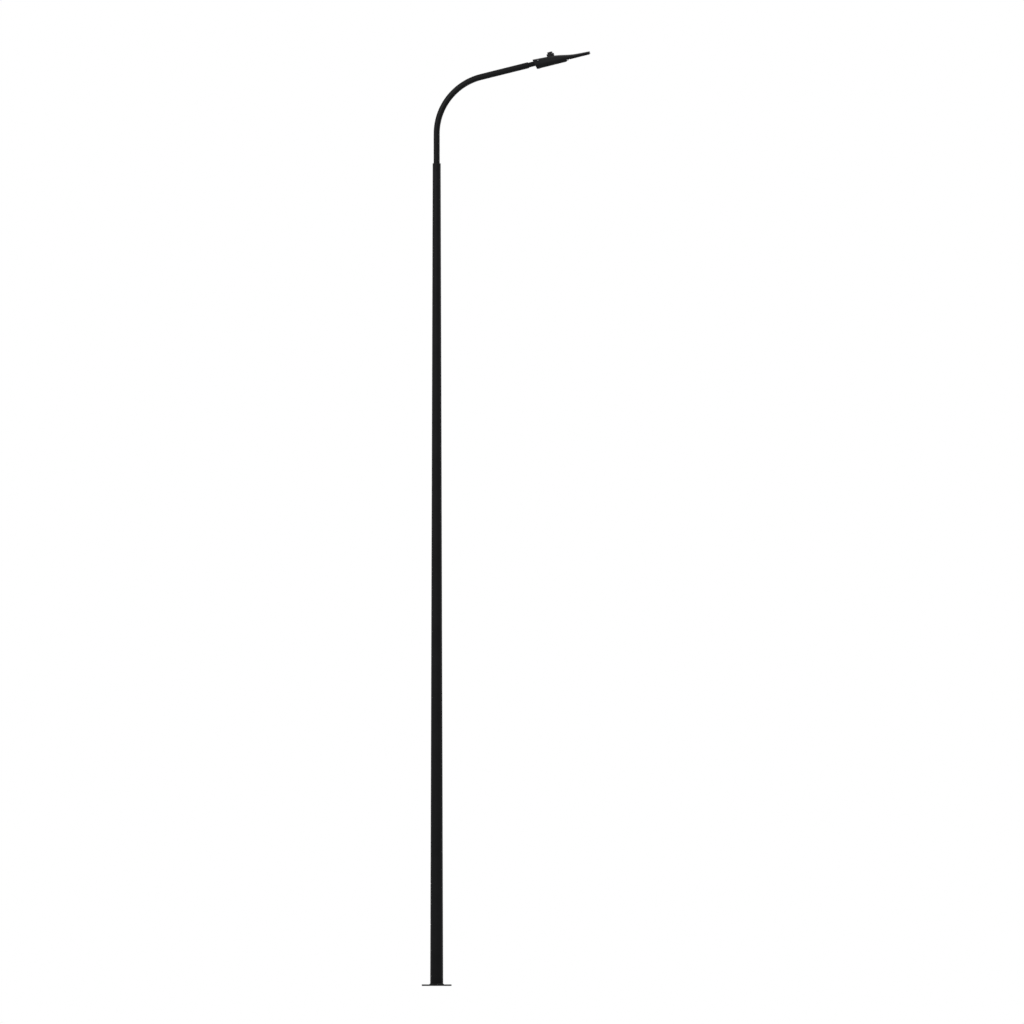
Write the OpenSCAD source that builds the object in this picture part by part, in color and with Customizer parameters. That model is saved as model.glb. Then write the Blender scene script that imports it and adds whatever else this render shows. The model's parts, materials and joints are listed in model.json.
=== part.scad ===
// Single-arm street lighting column: a tapered flange-plate column, a bent outreach
// bracket and an LED road lantern with a hinged gear cover and a twist-lock photocell.
// Z is up, X points along the outreach, and the origin lies under the middle of the base plate.

/* [Base plate] */
// Side of the square base plate
plate_w = 290; // [260:5:400]
// Thickness of the base plate
plate_t = 15; // [8:1:25]
// Radius of the plate's corners
plate_corner_r = 18; // [5:1:40]
// Distance between neighbouring anchor holes
bolt_spacing = 220; // [200:5:300]
// Diameter of the anchor holes
bolt_hole_d = 24; // [14:1:32]
// Diameter of the cable hole in the middle of the plate
cable_hole_d = 80; // [40:5:90]
// Leg of the fillet weld round the foot of the shaft
weld_leg = 8; // [4:1:15]

/* [Shaft] */
// Length of the tapered shaft
shaft_len = 8000; // [4000:100:12000]
// Outside diameter of the shaft at its foot
shaft_foot_d = 127; // [110:1:180]
// Outside diameter of the shaft at its head
shaft_head_d = 79; // [74:1:100]
// Wall of the shaft
shaft_wall = 4; // [3:0.5:5]

/* [Service door] */
// Height of the lower edge of the door opening above the ground
door_sill = 600; // [300:50:1200]
// Height of the door opening
door_h = 400; // [300:10:600]
// Width of the door opening
door_w = 80; // [60:5:85]
// Radius of the corners of the door opening
door_corner_r = 20; // [8:1:28]
// Joint between the door and the edge of its opening
door_joint = 2.5; // [1:0.5:5]
// Thickness of the frame welded inside the opening
door_frame_t = 5; // [3:1:8]
// Width of the frame's lip behind the door
door_lip = 8; // [5:1:12]
// Width of the frame's flange behind the shaft's wall
door_flange = 8; // [6:1:9]
// Diameter of the two door locks
lock_d = 18; // [12:1:24]
// Depth of a lock body behind the door
lock_depth = 16; // [8:1:20]
// Distance of a lock from the end of the door
lock_inset = 45; // [30:5:80]
// Size of the three-sided key head
lock_key_d = 11; // [6:1:12]
// Depth of the cup round the key head
lock_cup = 3; // [1:0.5:4]

/* [Bracket] */
// Outside diameter of the bracket tube
bracket_d = 60.3; // [50:0.1:62]
// Wall of the bracket tube
bracket_wall = 3.2; // [2.5:0.1:4]
// Length of the tube inside the head of the shaft
bracket_insert = 300; // [150:10:500]
// Straight rise above the head of the shaft
bracket_rise = 297; // [50:1:800]
// Radius of the bend along the middle of the tube
bend_r = 570; // [300:10:900]
// Upward tilt of the arm in degrees
arm_tilt = 14; // [0:1:20]
// Straight length of the arm after the bend
arm_len = 475; // [200:5:1500]
// Thinning of each face of the tube's wall in the bend
bend_thin = 0.15; // [0.1:0.05:0.3]
// Length of the straight tube that runs into the bend at each end
bend_lap = 2; // [1:0.5:4]
// Thickness of the collar that rests on the shaft
collar_h = 8; // [5:1:20]
// Bevel round the top of the collar
collar_bevel = 2; // [0.5:0.5:4]

/* [Spigot] */
// Outside diameter of the lantern spigot
spigot_d = 42.4; // [38:0.2:44]
// Bore of the spigot for the supply cable
spigot_bore = 34; // [20:1:36]
// Length of the plug inside the bracket tube
plug_len = 45; // [30:5:80]
// Thickness of the shoulder at the end of the bracket
shoulder_t = 4; // [3:1:8]
// Length of the spigot that shows behind the lantern
spigot_show = 47; // [40:1:120]
// Length of the spigot inside the lantern, from its rear top edge
spigot_reach = 112; // [100:1:120]

/* [Lantern body] */
// Length of the lantern
lantern_len = 564; // [530:1:640]
// Greatest width of the lantern
body_w = 250; // [240:2:300]
// Width of the lantern at its rear
rear_w = 180; // [176:2:220]
// Height of the rear top edge above the spigot's middle
roof_h = 43; // [38:1:48]
// Depth of the nose's top below the spigot's middle
nose_drop = 12.4; // [12:0.2:16]
// Depth of the widest line below the spigot's middle
belt_drop = 25; // [23:1:27]
// Depth of the underside below the spigot's middle
sole_drop = 40; // [39:1:44]
// How far the lower flank tucks in below the widest line
tuck = 8; // [4:1:10]
// Radius of the nose's corners in plan
nose_r = 60; // [40:1:70]
// Rounding of the end edges
edge_r = 7; // [3:0.5:8]
// Backward lean of the rear face in degrees
rear_rake = 13; // [0:1:15]
// Share of the roof's fall that runs evenly from end to end
roof_lean_share = 0.54; // [0.3:0.01:0.6]
// Where the steeper fall of the roof begins, as a share of the length
fall_start_share = 0.34; // [0.3:0.01:0.4]
// Where the steeper fall of the roof ends, as a share of the length
fall_end_share = 0.76; // [0.7:0.01:0.85]
// Where the body reaches its full width, as a share of the length
swell_share = 0.6; // [0.5:0.01:0.7]
// Where the lean of the rear face has died out, as a share of the length
rake_fade_share = 0.3; // [0.25:0.01:0.4]
// Squareness of the crowned section
crown_power = 3; // [2.6:0.1:4]

/* [Cooling fins] */
// Number of grooves between the fins
groove_count = 9; // [3:2:11]
// Distance between neighbouring grooves
groove_pitch = 20; // [14:1:22]
// Width of a groove
groove_w = 11; // [5:0.5:12]
// Depth of a groove
groove_depth = 5.5; // [2:0.5:6]
// Length of the grooves
groove_len = 196; // [100:2:200]
// Distance of the grooves from the nose
groove_inset = 22; // [20:1:40]
// Length of the run-out at each end of a groove
groove_ramp = 22; // [8:1:40]

/* [Gear bay] */
// Thickness of the bay's side walls at the rim
bay_side = 24; // [23:0.5:28]
// Distance of the bay from the lantern's rear top edge
bay_back = 34; // [32:1:40]
// Length of the gear bay
bay_len = 264; // [250:1:264]
// Height of the bay's sloped front end
bay_ramp_h = 14; // [8:1:20]
// Length of the bay's sloped front end
bay_ramp_len = 28; // [10:1:40]
// Width of the taller bay round the spigot
clamp_bay_w = 92; // [84:1:96]
// Height of the taller bay above the spigot's middle
clamp_bay_h = 27; // [26:0.5:28]
// Length of the taller bay
clamp_bay_len = 93; // [88:1:100]
// Length of the spigot clamp
clamp_len = 44; // [30:1:60]
// Width of the spigot clamp
clamp_w = 82; // [78:1:82]
// Thickness of the strap's two ears
strap_ear_t = 10; // [6:0.5:12]
// Diameter of the bolt holes in the clamp
clamp_hole_d = 8.4; // [5:0.1:9]
// Depth of the clamp strap below the spigot
strap_t = 9; // [5:0.5:12]
// Split between the clamp's saddle and strap
clamp_split = 12; // [6:1:20]
// Distance of the clamp from the bay's rear wall
clamp_back = 20; // [6:1:30]
// Wall of the rubber gland round the spigot
gland_t = 4; // [3:0.5:6]
// Length of the gland behind the bay
gland_len = 12; // [8:1:14]

/* [Gear] */
// Thickness of the gear tray
gear_tray_t = 2; // [1.5:0.5:3]
// Height of the gear tray's folded edges
gear_fold = 8; // [4:1:12]
// Length of the gear tray
gear_tray_len = 136; // [132:1:140]
// Width of the gear tray
gear_tray_w = 148; // [144:1:150]
// Distance of the gear tray ahead of the taller bay
gear_tray_lead = 6; // [4:1:10]
// Length of the LED driver
driver_l = 128; // [100:1:130]
// Width of the LED driver
driver_w = 66; // [50:1:70]
// Height of the LED driver
driver_h = 30; // [20:1:32]
// Bevel along the edges of the driver and the surge protector
driver_bevel = 3; // [1:0.5:5]
// Length of the driver's foot at each end
driver_foot = 6; // [5:0.5:8]
// Thickness of the driver's feet
driver_foot_t = 3; // [2:0.5:4]
// Length of the terminal block
terminal_l = 58; // [40:1:60]
// Width of the terminal block
terminal_w = 30; // [20:1:36]
// Height of the terminal block
terminal_h = 22; // [14:1:28]
// Number of poles in the terminal block
terminal_poles = 5; // [3:1:6]
// Diameter of a terminal's screw well
terminal_well_d = 6; // [3:0.5:7]
// Diameter of a terminal's wire entry
terminal_entry_d = 5; // [3:0.5:6]
// Width and height of the step along each side of the terminal block
terminal_step = 6; // [3:0.5:8]
// Length of the surge protector
surge_l = 52; // [40:1:55]
// Width of the surge protector
surge_w = 34; // [24:1:40]
// Height of the surge protector
surge_h = 26; // [16:1:30]
// Clearance between pieces of gear
gear_space = 8; // [5:1:10]

/* [Gear cover] */
// Depth of the cover
cover_h = 12.5; // [10:0.5:15]
// Wall of the cover
cover_wall = 3; // [2:0.5:4]
// Floor of the cover
cover_floor = 3; // [2:0.5:4]
// Setback of the cover from the body's lower edge
cover_setback = 2; // [1:0.5:4]
// Radius of the cover's corners in plan
cover_corner_r = 16; // [10:1:24]
// Rounding of the cover's lower edge
cover_edge_r = 5; // [2:0.5:6]
// Length of the cover along its lower face
cover_len = 297; // [290:1:300]
// Slope of the cover's front wall, forward per depth, as a share
cover_front_share = 1; // [0.5:0.05:1.2]
// Height of the ribs on the cover's floor
cover_rib_h = 2.5; // [2:0.5:3]
// Thickness of the ribs
cover_rib_t = 2; // [1.5:0.5:4]
// Number of ribs across the cover
cover_rib_count = 4; // [2:1:4]
// Distance between neighbouring ribs across the cover
cover_rib_pitch = 58; // [40:2:60]
// Diameter of the holes for the two captive screws
screw_hole_d = 6.6; // [4:0.2:8]
// Distance between the captive screws
screw_spread = 68; // [64:2:76]
// Distance of the captive screws ahead of the bay's rear wall
screw_lead = 11; // [10:0.5:12]
// Wall round the captive screws
screw_wall = 3.5; // [2.5:0.5:4]
// Height of the lugs that take the captive screws
screw_lug_h = 22; // [14:1:28]
// Thickness of the rubber seal
seal_t = 4; // [3:0.5:5]
// Depth of the rubber seal below the underside
seal_h = 7; // [5:0.5:8]

/* [Hinge] */
// Distance of the hinge pin ahead of the cover's front edge
hinge_lead = 8; // [7:0.5:12]
// Outside diameter of the hinge knuckles
knuckle_d = 8; // [7.5:0.5:9]
// Diameter of the hinge pins
pin_d = 4; // [3:0.5:4.5]
// Width of a hinge arm
arm_w = 16; // [10:1:24]
// Thickness of a hinge lug
lug_t = 5; // [4:0.5:8]
// Distance between the two hinges
hinge_spread = 130; // [80:2:160]

/* [Optic] */
// Length of the optic frame
optic_len = 196; // [180:1:198]
// Width of the optic frame
optic_w = 214; // [190:1:216]
// Corner radius of the optic frame
optic_corner_r = 50; // [20:1:54]
// Distance of the optic frame from the nose
optic_inset = 9; // [8:1:16]
// Thickness of the optic frame
optic_t = 3; // [2:0.5:5]
// Width of the frame round the glass
optic_rim = 20; // [16:1:24]
// How far the glass laps over the frame
glass_lap = 8; // [5:0.5:9]
// Thickness of the glass
glass_t = 4; // [3:0.5:5]
// Depth of the recess for the lamps
recess_h = 13; // [12.5:0.1:13.5]
// Thickness of the lamp board
board_t = 2; // [1.5:0.5:2.5]
// Distance of the lamp board's edge from the glass's edge
board_inset = 6; // [4:1:12]
// Thickness of the lens plate
lens_plate_t = 1.5; // [1:0.1:1.8]
// Height of a lens above its plate
lens_h = 4.6; // [3:0.1:4.7]
// Diameter of a lens at its plate
lens_d = 17; // [12:0.5:18]
// Distance between neighbouring lenses along the lantern
lens_pitch_x = 27; // [22:1:28]
// Distance between neighbouring lenses across the lantern
lens_pitch_y = 29; // [24:1:30]
// Number of lenses along the lantern
lens_count_x = 5; // [2:1:5]
// Number of lenses across the lantern
lens_count_y = 6; // [2:1:6]

/* [Photocell] */
// Diameter of the photocell socket
socket_d = 74; // [62:1:76]
// Height of the socket's top above the spigot's middle
socket_top = 58; // [50:1:64]
// Height of the socket's seat above the spigot's middle
socket_seat = 24; // [22:1:26]
// Bevel round the socket's top
socket_bevel = 2; // [0.5:0.5:4]
// Distance of the photocell from the lantern's rear top edge
cell_back = 183; // [178:1:186]
// Diameter of the photocell
cell_d = 51; // [36:1:56]
// Height of the photocell
cell_h = 18; // [16:1:34]
// Rounding of the photocell's top
cell_round = 5; // [2:0.5:6]
// Number of grip flutes round the photocell
flute_count = 30; // [12:2:36]
// Diameter of a grip flute
flute_d = 3; // [2:0.5:4]
// Depth of a grip flute
flute_depth = 0.8; // [0.4:0.1:1.2]
// Distance of the flutes from the photocell's lower edge
flute_lift = 2.5; // [2:0.5:4]
// Diameter of the photocell's foot in the socket
cell_foot_d = 28; // [20:1:29]
// Depth of the photocell's foot in the socket
cell_foot_h = 8; // [4:1:12]

/* [Clearances] */
// Gap between curved faces that seat on one another
seat_gap = 0.3; // [0.2:0.05:0.5]
// Gap round the moving gear cover
move_gap = 5; // [5:0.5:6]
// Gap between a hinge pin or knuckle and its neighbour
pin_gap = 0.25; // [0.2:0.05:0.5]

/* [Hidden] */
$fn = 64;

// How far every cut runs past the face it opens
cut_over = 20;
// How far a groove's run-out lifts clear of the surface
groove_lift = 1;
// Steps round a rounded corner, along a body and across a section
corner_steps = 8;
body_steps = 26;
section_steps = 28;
ring_steps = 24;

// Levels of the column
foot_z = plate_t;
head_z = plate_t + shaft_len;
door_mid_z = door_sill + door_h / 2;

// Bend of the bracket and the end of the arm, where the lantern's own frame begins
bend_angle = 90 - arm_tilt;
bend_z = head_z + bracket_rise;
arm_reach = arm_len + shoulder_t;

// Main places along and across the lantern
rear_x = spigot_show;
tip_x = rear_x + lantern_len;
sole_z = -sole_drop;
belt_z = -belt_drop;
bay_x = rear_x + bay_back;
bay_end_x = bay_x + bay_len;
clamp_bay_end_x = bay_x + clamp_bay_len;
clamp_x = bay_x + clamp_back;
gear_x = clamp_bay_end_x + gear_tray_lead;
gear_face_z = -gear_tray_t;
cell_x = rear_x + cell_back;
cover_top_z = sole_z - move_gap;
cover_low_z = cover_top_z - cover_h;
cover_rear_x = rear_x + (roof_h - cover_low_z) * tan(rear_rake);
cover_front_x = cover_rear_x + cover_len;
screw_x = bay_x + screw_lead;
screw_boss_d = screw_hole_d + 2 * screw_wall;
hinge_x = cover_front_x + cover_h * cover_front_share + hinge_lead;
hinge_z = sole_z - knuckle_d / 2 - pin_gap * 4;
optic_end_x = tip_x - optic_inset;
optic_mid_x = optic_end_x - optic_len / 2;
glass_len = optic_len - 2 * optic_rim + 2 * glass_lap;
glass_w = optic_w - 2 * optic_rim + 2 * glass_lap;
glass_corner_r = optic_corner_r - optic_rim + glass_lap;
recess_z = sole_z + recess_h;
board_z = recess_z - board_t;
lens_z = board_z - lens_plate_t;

// Soft step from 0 to 1
function smooth(t) = let (c = min(1, max(0, t))) c * c * (3 - 2 * c);

// Place along the lantern as a share of its length
function along(x) = (x - rear_x) / lantern_len;

// Height of the roof line
function roof_z(x) = roof_h - (roof_h + nose_drop) * (roof_lean_share * along(x)
    + (1 - roof_lean_share)
    * smooth((along(x) - fall_start_share) / (fall_end_share - fall_start_share)));

// Rounding of the two end edges
function edge_in(x) = let (d = min(x - rear_x, tip_x - x))
    d < edge_r ? edge_r - sqrt(edge_r * edge_r - pow(edge_r - max(0, d), 2)) : 0;

// Half the width at the widest line
function swell_y(x) = rear_w / 2 + (body_w - rear_w) / 2 * smooth(along(x) / swell_share);
function nose_in(x) = let (d = x - (tip_x - nose_r))
    d > 0 ? nose_r - sqrt(max(0, nose_r * nose_r - d * d)) : 0;
function flank_y(x) = swell_y(x) - nose_in(x);

// Height of the crowned surface at a place off the middle
function crown_z(x, y) = belt_z + (roof_z(x) - edge_in(x) - belt_z)
    * pow(1 - pow(abs(y) / (flank_y(x) - edge_in(x)), crown_power), 1 / crown_power);

// Point of a section, leaned with the rear face
function leaned(x, y, z) = [x + (roof_h - z) * tan(rear_rake)
    * (1 - smooth(along(x) / rake_fade_share)), y, z];

// One closed section of the body
function crown_pt(x, a) = let (
    y = (flank_y(x) - edge_in(x)) * sign(cos(a)) * pow(abs(cos(a)), 2 / crown_power),
    z = belt_z + (roof_z(x) - edge_in(x) - belt_z) * pow(abs(sin(a)), 2 / crown_power))
    leaned(x, y, z);
function section(x) = concat(
    [for (k = [0:section_steps]) crown_pt(x, 180 * k / section_steps)],
    [leaned(x, -flank_y(x) + edge_in(x) + tuck, sole_z),
     leaned(x, flank_y(x) - edge_in(x) - tuck, sole_z)]);

// Where the body's sections stand
function body_stations() = concat(
    [for (a = [0:90 / 4:89]) rear_x + edge_r * (1 - cos(a))],
    [for (k = [0:body_steps - 1])
        rear_x + edge_r + (tip_x - nose_r - rear_x - edge_r) * k / body_steps],
    [for (a = [0:9:90]) tip_x - nose_r * (1 - sin(a))]);

// Plan ring of the gear cover at a height, set in from its outside
function cover_back(z) = cover_rear_x - (z - cover_low_z) * tan(rear_rake);
function cover_front(z) = cover_front_x + (z - cover_low_z) * cover_front_share;
function cover_y(x, inset) = swell_y(x) - tuck - cover_setback - inset;
function corner_in(d, r) = d < r ? r - sqrt(max(0, r * r - (r - d) * (r - d))) : 0;
function ring_x(z, inset, k) = let (a = cover_back(z) + inset, b = cover_front(z) - inset)
    a + (b - a) * (1 - cos(180 * k / ring_steps)) / 2;
function ring_y(z, inset, k) = let (
    x = ring_x(z, inset, k),
    d = min(x - cover_back(z), cover_front(z) - x) - inset)
    cover_y(x, inset) - corner_in(d, cover_corner_r - inset);
function cover_ring(z, inset) = concat(
    [for (k = [0:ring_steps]) [ring_x(z, inset, k), -ring_y(z, inset, k)]],
    [for (k = [ring_steps:-1:0]) [ring_x(z, inset, k), ring_y(z, inset, k)]]);
function lifted(ring, z) = [for (p = ring) [p[0], p[1], z]];

// Rectangle with round corners
function round_rect(w, h, r) = [for (c = [0:3], k = [0:corner_steps])
    let (a = 90 * c + 90 * k / corner_steps, sx = c == 0 || c == 3 ? 1 : -1, sy = c < 2 ? 1 : -1)
    [sx * (w / 2 - r) + r * cos(a), sy * (h / 2 - r) + r * sin(a)]];

// Skin over a row of rings, closed at both ends
module skin(rings) {
    n = len(rings[0]);
    last = len(rings) - 1;
    polyhedron(
        points = [for (ring = rings) each ring],
        faces = concat(
            [[for (j = [0:n - 1]) j]],
            [for (i = [0:last - 1], j = [0:n - 1])
                let (a = i * n + j, b = i * n + (j + 1) % n)
                each [[a, a + n, b + n], [a, b + n, b]]],
            [[for (j = [n - 1:-1:0]) last * n + j]]));
}

// Places children at the end of the bend, with Z along the arm
module past_bend() {
    translate([bend_r, 0, bend_z])
        rotate([0, bend_angle, 0])
            translate([-bend_r, 0, 0])
                children();
}

// Places children in the lantern's frame: X along the arm from its end, Z square to it
module on_arm() {
    past_bend()
        translate([0, 0, arm_reach])
            rotate([0, -90, 0])
                children();
}

// Side profile drawn in X and Z, made as wide as told
module across(w) {
    rotate([90, 0, 0])
        linear_extrude(height = w, center = true)
            children();
}

// Round bar along the arm
module bar(x, d, l) {
    translate([x, 0, 0])
        rotate([0, 90, 0])
            cylinder(d = d, h = l);
}

// Opening through the rear of the shaft, drawn in Y and Z
module door_prism(w, h, r) {
    translate([0, 0, door_mid_z])
        rotate([90, 0, -90])
            linear_extrude(height = shaft_foot_d)
                polygon(round_rect(w, h, r));
}

// Tapered shell a little inside the shaft's outside
module shaft_shell(inset, t) {
    foot_r = shaft_foot_d / 2 - inset;
    head_r = shaft_head_d / 2 - inset;
    translate([0, 0, foot_z])
        rotate_extrude()
            polygon([[foot_r - t, 0], [foot_r, 0], [head_r, shaft_len], [head_r - t, shaft_len]]);
}

// Outside radius of the shaft at a height
function shaft_r(z) = (shaft_foot_d + (shaft_head_d - shaft_foot_d) * (z - foot_z) / shaft_len) / 2;

// Square base plate with four anchor holes and a cable hole
module base_plate() {
    color([0.12, 0.12, 0.13])
        difference() {
            linear_extrude(height = plate_t)
                polygon(round_rect(plate_w, plate_w, plate_corner_r));
            for (sx = [-1, 1], sy = [-1, 1])
                translate([sx * bolt_spacing / 2, sy * bolt_spacing / 2, -cut_over])
                    cylinder(d = bolt_hole_d, h = plate_t + 2 * cut_over);
            translate([0, 0, -cut_over])
                cylinder(d = cable_hole_d, h = plate_t + 2 * cut_over);
        }
}

// Fillet weld between the plate and the shaft
module foot_weld() {
    weld_z = foot_z + weld_leg;
    color([0.12, 0.12, 0.13])
        rotate_extrude()
            polygon([
                [shaft_r(foot_z) + seat_gap, foot_z],
                [shaft_r(foot_z) + weld_leg, foot_z],
                [shaft_r(weld_z) + seat_gap, weld_z]]);
}

// Tapered tube with the opening of the service door at its rear
module column_shaft() {
    color([0.11, 0.11, 0.12])
        difference() {
            shaft_shell(0, shaft_wall);
            door_prism(door_w, door_h, door_corner_r);
        }
}

// Frame welded behind the edge of the door opening
module door_frame() {
    color([0.12, 0.12, 0.13])
        difference() {
            intersection() {
                shaft_shell(shaft_wall + 3 * seat_gap, door_frame_t);
                door_prism(door_w + 2 * door_flange, door_h + 2 * door_flange,
                    door_corner_r + door_flange);
            }
            door_prism(door_w - 2 * door_lip, door_h - 2 * door_lip, door_corner_r - door_lip);
        }
}

// Bar across the rear of the shaft at a lock
module lock_bar(z, d, from_r, to_r) {
    translate([-from_r, 0, z])
        rotate([0, -90, 0])
            cylinder(d = d, h = to_r - from_r);
}

// Heights of the two locks
lock_zs = [door_sill + lock_inset, door_sill + door_h - lock_inset];

// Flush door cut from the same taper as the shaft
module door_cover() {
    color([0.12, 0.12, 0.13])
        difference() {
            intersection() {
                shaft_shell(0, shaft_wall);
                door_prism(door_w - 2 * door_joint, door_h - 2 * door_joint,
                    door_corner_r - door_joint);
            }
            for (z = lock_zs)
                lock_bar(z, lock_d + 2 * seat_gap, shaft_r(z) - lock_depth, shaft_r(z) + cut_over);
        }
}

// Two locks with three-sided heads in round cups
module door_locks() {
    color([0.6, 0.6, 0.62])
        for (z = lock_zs)
            union() {
                difference() {
                    lock_bar(z, lock_d, shaft_r(z) - lock_depth, shaft_r(z));
                    lock_bar(z, lock_d - shaft_wall, shaft_r(z) - lock_cup, shaft_r(z) + cut_over);
                }
                translate([-shaft_r(z) + lock_cup + shaft_wall, 0, z])
                    rotate([0, -90, 0])
                        cylinder(d = lock_key_d, h = lock_cup + shaft_wall - seat_gap, $fn = 3);
            }
}

// Collar on the bracket that rests on the head of the shaft
module bracket_collar() {
    bore_r = bracket_d / 2 + seat_gap;
    collar_r = shaft_head_d / 2;
    color([0.12, 0.12, 0.13])
        translate([0, 0, head_z])
            rotate_extrude()
                polygon([[bore_r, 0], [collar_r, 0], [collar_r, collar_h - collar_bevel],
                    [collar_r - collar_bevel, collar_h], [bore_r, collar_h]]);
}

// Wall of the bracket tube, thinner in the bend
module bracket_ring(thin) {
    difference() {
        circle(d = bracket_d - 2 * thin);
        circle(d = bracket_d - 2 * bracket_wall + 2 * thin);
    }
}

// Tube that rises from the shaft, bends and runs out along the arm
module bracket_tube() {
    color([0.11, 0.11, 0.12])
        union() {
            translate([0, 0, head_z - bracket_insert])
                linear_extrude(height = bracket_insert + bracket_rise + bend_lap)
                    bracket_ring(0);
            translate([bend_r, 0, bend_z])
                rotate([-90, 0, 0])
                    rotate([0, 0, 180])
                        rotate_extrude(angle = bend_angle)
                            translate([bend_r, 0])
                                bracket_ring(bend_thin);
            past_bend()
                translate([0, 0, -bend_lap])
                    linear_extrude(height = arm_len + bend_lap)
                        bracket_ring(0);
        }
}

// Turned plug with a shoulder and the spigot that carries the lantern
module arm_spigot() {
    plug_r = bracket_d / 2 - bracket_wall - seat_gap;
    spigot_end = spigot_show + spigot_reach;
    color([0.13, 0.13, 0.14])
        on_arm()
            rotate([0, 90, 0])
                rotate_extrude()
                    polygon([
                        [spigot_bore / 2, -shoulder_t - plug_len],
                        [plug_r, -shoulder_t - plug_len],
                        [plug_r, -shoulder_t],
                        [bracket_d / 2, -shoulder_t],
                        [bracket_d / 2, -shoulder_t / 2],
                        [bracket_d / 2 - shoulder_t / 2, 0],
                        [spigot_d / 2, 0],
                        [spigot_d / 2, spigot_end],
                        [spigot_bore / 2, spigot_end]]);
}

// Rubber ring between the spigot and the lantern's rear wall
module spigot_gland() {
    bore_r = spigot_d / 2 + seat_gap;
    color([0.05, 0.05, 0.05])
        on_arm()
            translate([bay_x - gland_len, 0, 0])
                rotate([0, 90, 0])
                    rotate_extrude()
                        polygon([[bore_r, 0], [bore_r + gland_t, 0],
                            [bore_r + gland_t, gland_len], [bore_r, gland_len]]);
}

// Plan of the gear bay
module bay_plan() {
    xs = [for (k = [0:body_steps / 2]) bay_x + bay_len * 2 * k / body_steps];
    polygon(concat(
        [for (x = xs) [x, -swell_y(x) + bay_side]],
        [for (k = [len(xs) - 1:-1:0]) [xs[k], swell_y(xs[k]) - bay_side]]));
}

// One groove between the cooling fins
module groove(y) {
    x_to = tip_x - groove_inset;
    x_from = x_to - groove_len;
    floor_pts = [for (k = [0:body_steps])
        let (x = x_from + groove_len * k / body_steps,
            ramp = smooth((x - x_from) / groove_ramp) * smooth((x_to - x) / groove_ramp))
        [x, crown_z(x, y) - groove_depth * ramp + groove_lift * (1 - ramp)]];
    translate([0, y, 0])
        across(groove_w)
            polygon(concat(floor_pts, [[x_to, roof_h], [x_from, roof_h]]));
}

// Sides of the two captive screws
screw_ys = [-screw_spread / 2, screw_spread / 2];

// Body's skin with the gear bay, lamp recess, photocell seat and cooling grooves cut out
module body_shell() {
    difference() {
        skin([for (x = body_stations()) section(x)]);
        intersection() {
            across(body_w)
                polygon([
                    [bay_x, sole_z - cut_over], [bay_x, 0],
                    [bay_end_x - bay_ramp_len, 0], [bay_end_x, -bay_ramp_h],
                    [bay_end_x, sole_z - cut_over]]);
            translate([0, 0, sole_z - cut_over])
                linear_extrude(height = sole_drop + 2 * cut_over)
                    bay_plan();
        }
        translate([bay_x, -clamp_bay_w / 2, sole_z / 2])
            cube([clamp_bay_len, clamp_bay_w, clamp_bay_h - sole_z / 2]);
        bar(bay_x - gland_len, spigot_d + 2 * gland_t + 4 * seat_gap, gland_len + cut_over);
        bar(0, spigot_d + 2 * gland_t, bay_x);
        translate([optic_mid_x, 0, sole_z - cut_over])
            linear_extrude(height = recess_h + cut_over)
                polygon(round_rect(glass_len + 4 * seat_gap, glass_w + 4 * seat_gap,
                    glass_corner_r + 2 * seat_gap));
        translate([cell_x, 0, socket_seat])
            cylinder(d = socket_d + 2 * seat_gap, h = roof_h);
        for (k = [0:groove_count - 1])
            groove((k - (groove_count - 1) / 2) * groove_pitch);
    }
}

// Cast body, with two lugs on the bay's rear wall for the cover's captive screws
module lantern_housing() {
    color([0.12, 0.12, 0.13])
        on_arm()
            difference() {
                union() {
                    body_shell();
                    for (y = screw_ys)
                        translate([bay_x - screw_wall, y - screw_boss_d / 2, sole_z])
                            cube([screw_lead + screw_boss_d / 2 + screw_wall, screw_boss_d, screw_lug_h]);
                }
                for (y = screw_ys)
                    translate([screw_x, y, sole_z - cut_over])
                        cylinder(d = screw_hole_d, h = screw_lug_h / 2 + cut_over);
            }
}

// Holes for the clamp's four bolts
module clamp_holes() {
    for (x = [clamp_len / 4, clamp_len * 3 / 4], side = [-1, 1])
        translate([clamp_x + x, side * (clamp_w / 2 - clamp_hole_d), -roof_h])
            cylinder(d = clamp_hole_d, h = 2 * roof_h);
}

// Profile across the clamp, drawn in Y and Z, made as long as the clamp
module clamp_bar() {
    translate([clamp_x, 0, 0])
        rotate([90, 0, 90])
            linear_extrude(height = clamp_len)
                difference() {
                    children();
                    circle(d = spigot_d + 2 * seat_gap);
                }
}

// Upper half of the clamp, against the bay's roof
module spigot_saddle() {
    color([0.62, 0.63, 0.65])
        on_arm()
            difference() {
                clamp_bar()
                    translate([-clamp_w / 2, clamp_split / 2])
                        square([clamp_w, clamp_bay_h - clamp_split / 2]);
                clamp_holes();
            }
}

// Lower half of the clamp, a round strap with two ears
module spigot_strap() {
    color([0.62, 0.63, 0.65])
        on_arm()
            difference() {
                clamp_bar() {
                    intersection() {
                        circle(d = spigot_d + 2 * strap_t);
                        translate([-clamp_w / 2, -clamp_w - clamp_split / 2])
                            square([clamp_w, clamp_w]);
                    }
                    translate([-clamp_w / 2, -strap_ear_t - clamp_split / 2])
                        square([clamp_w, strap_ear_t]);
                }
                clamp_holes();
            }
}

// Folded plate under the bay's roof that carries the gear
module gear_tray() {
    color([0.68, 0.69, 0.7])
        on_arm()
            union() {
                translate([gear_x, -gear_tray_w / 2, gear_face_z])
                    cube([gear_tray_len, gear_tray_w, gear_tray_t]);
                for (x = [gear_x, gear_x + gear_tray_len - gear_tray_t])
                    translate([x, -gear_tray_w / 2, gear_face_z - gear_fold])
                        cube([gear_tray_t, gear_tray_w, gear_fold + gear_tray_t / 2]);
            }
}

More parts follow.
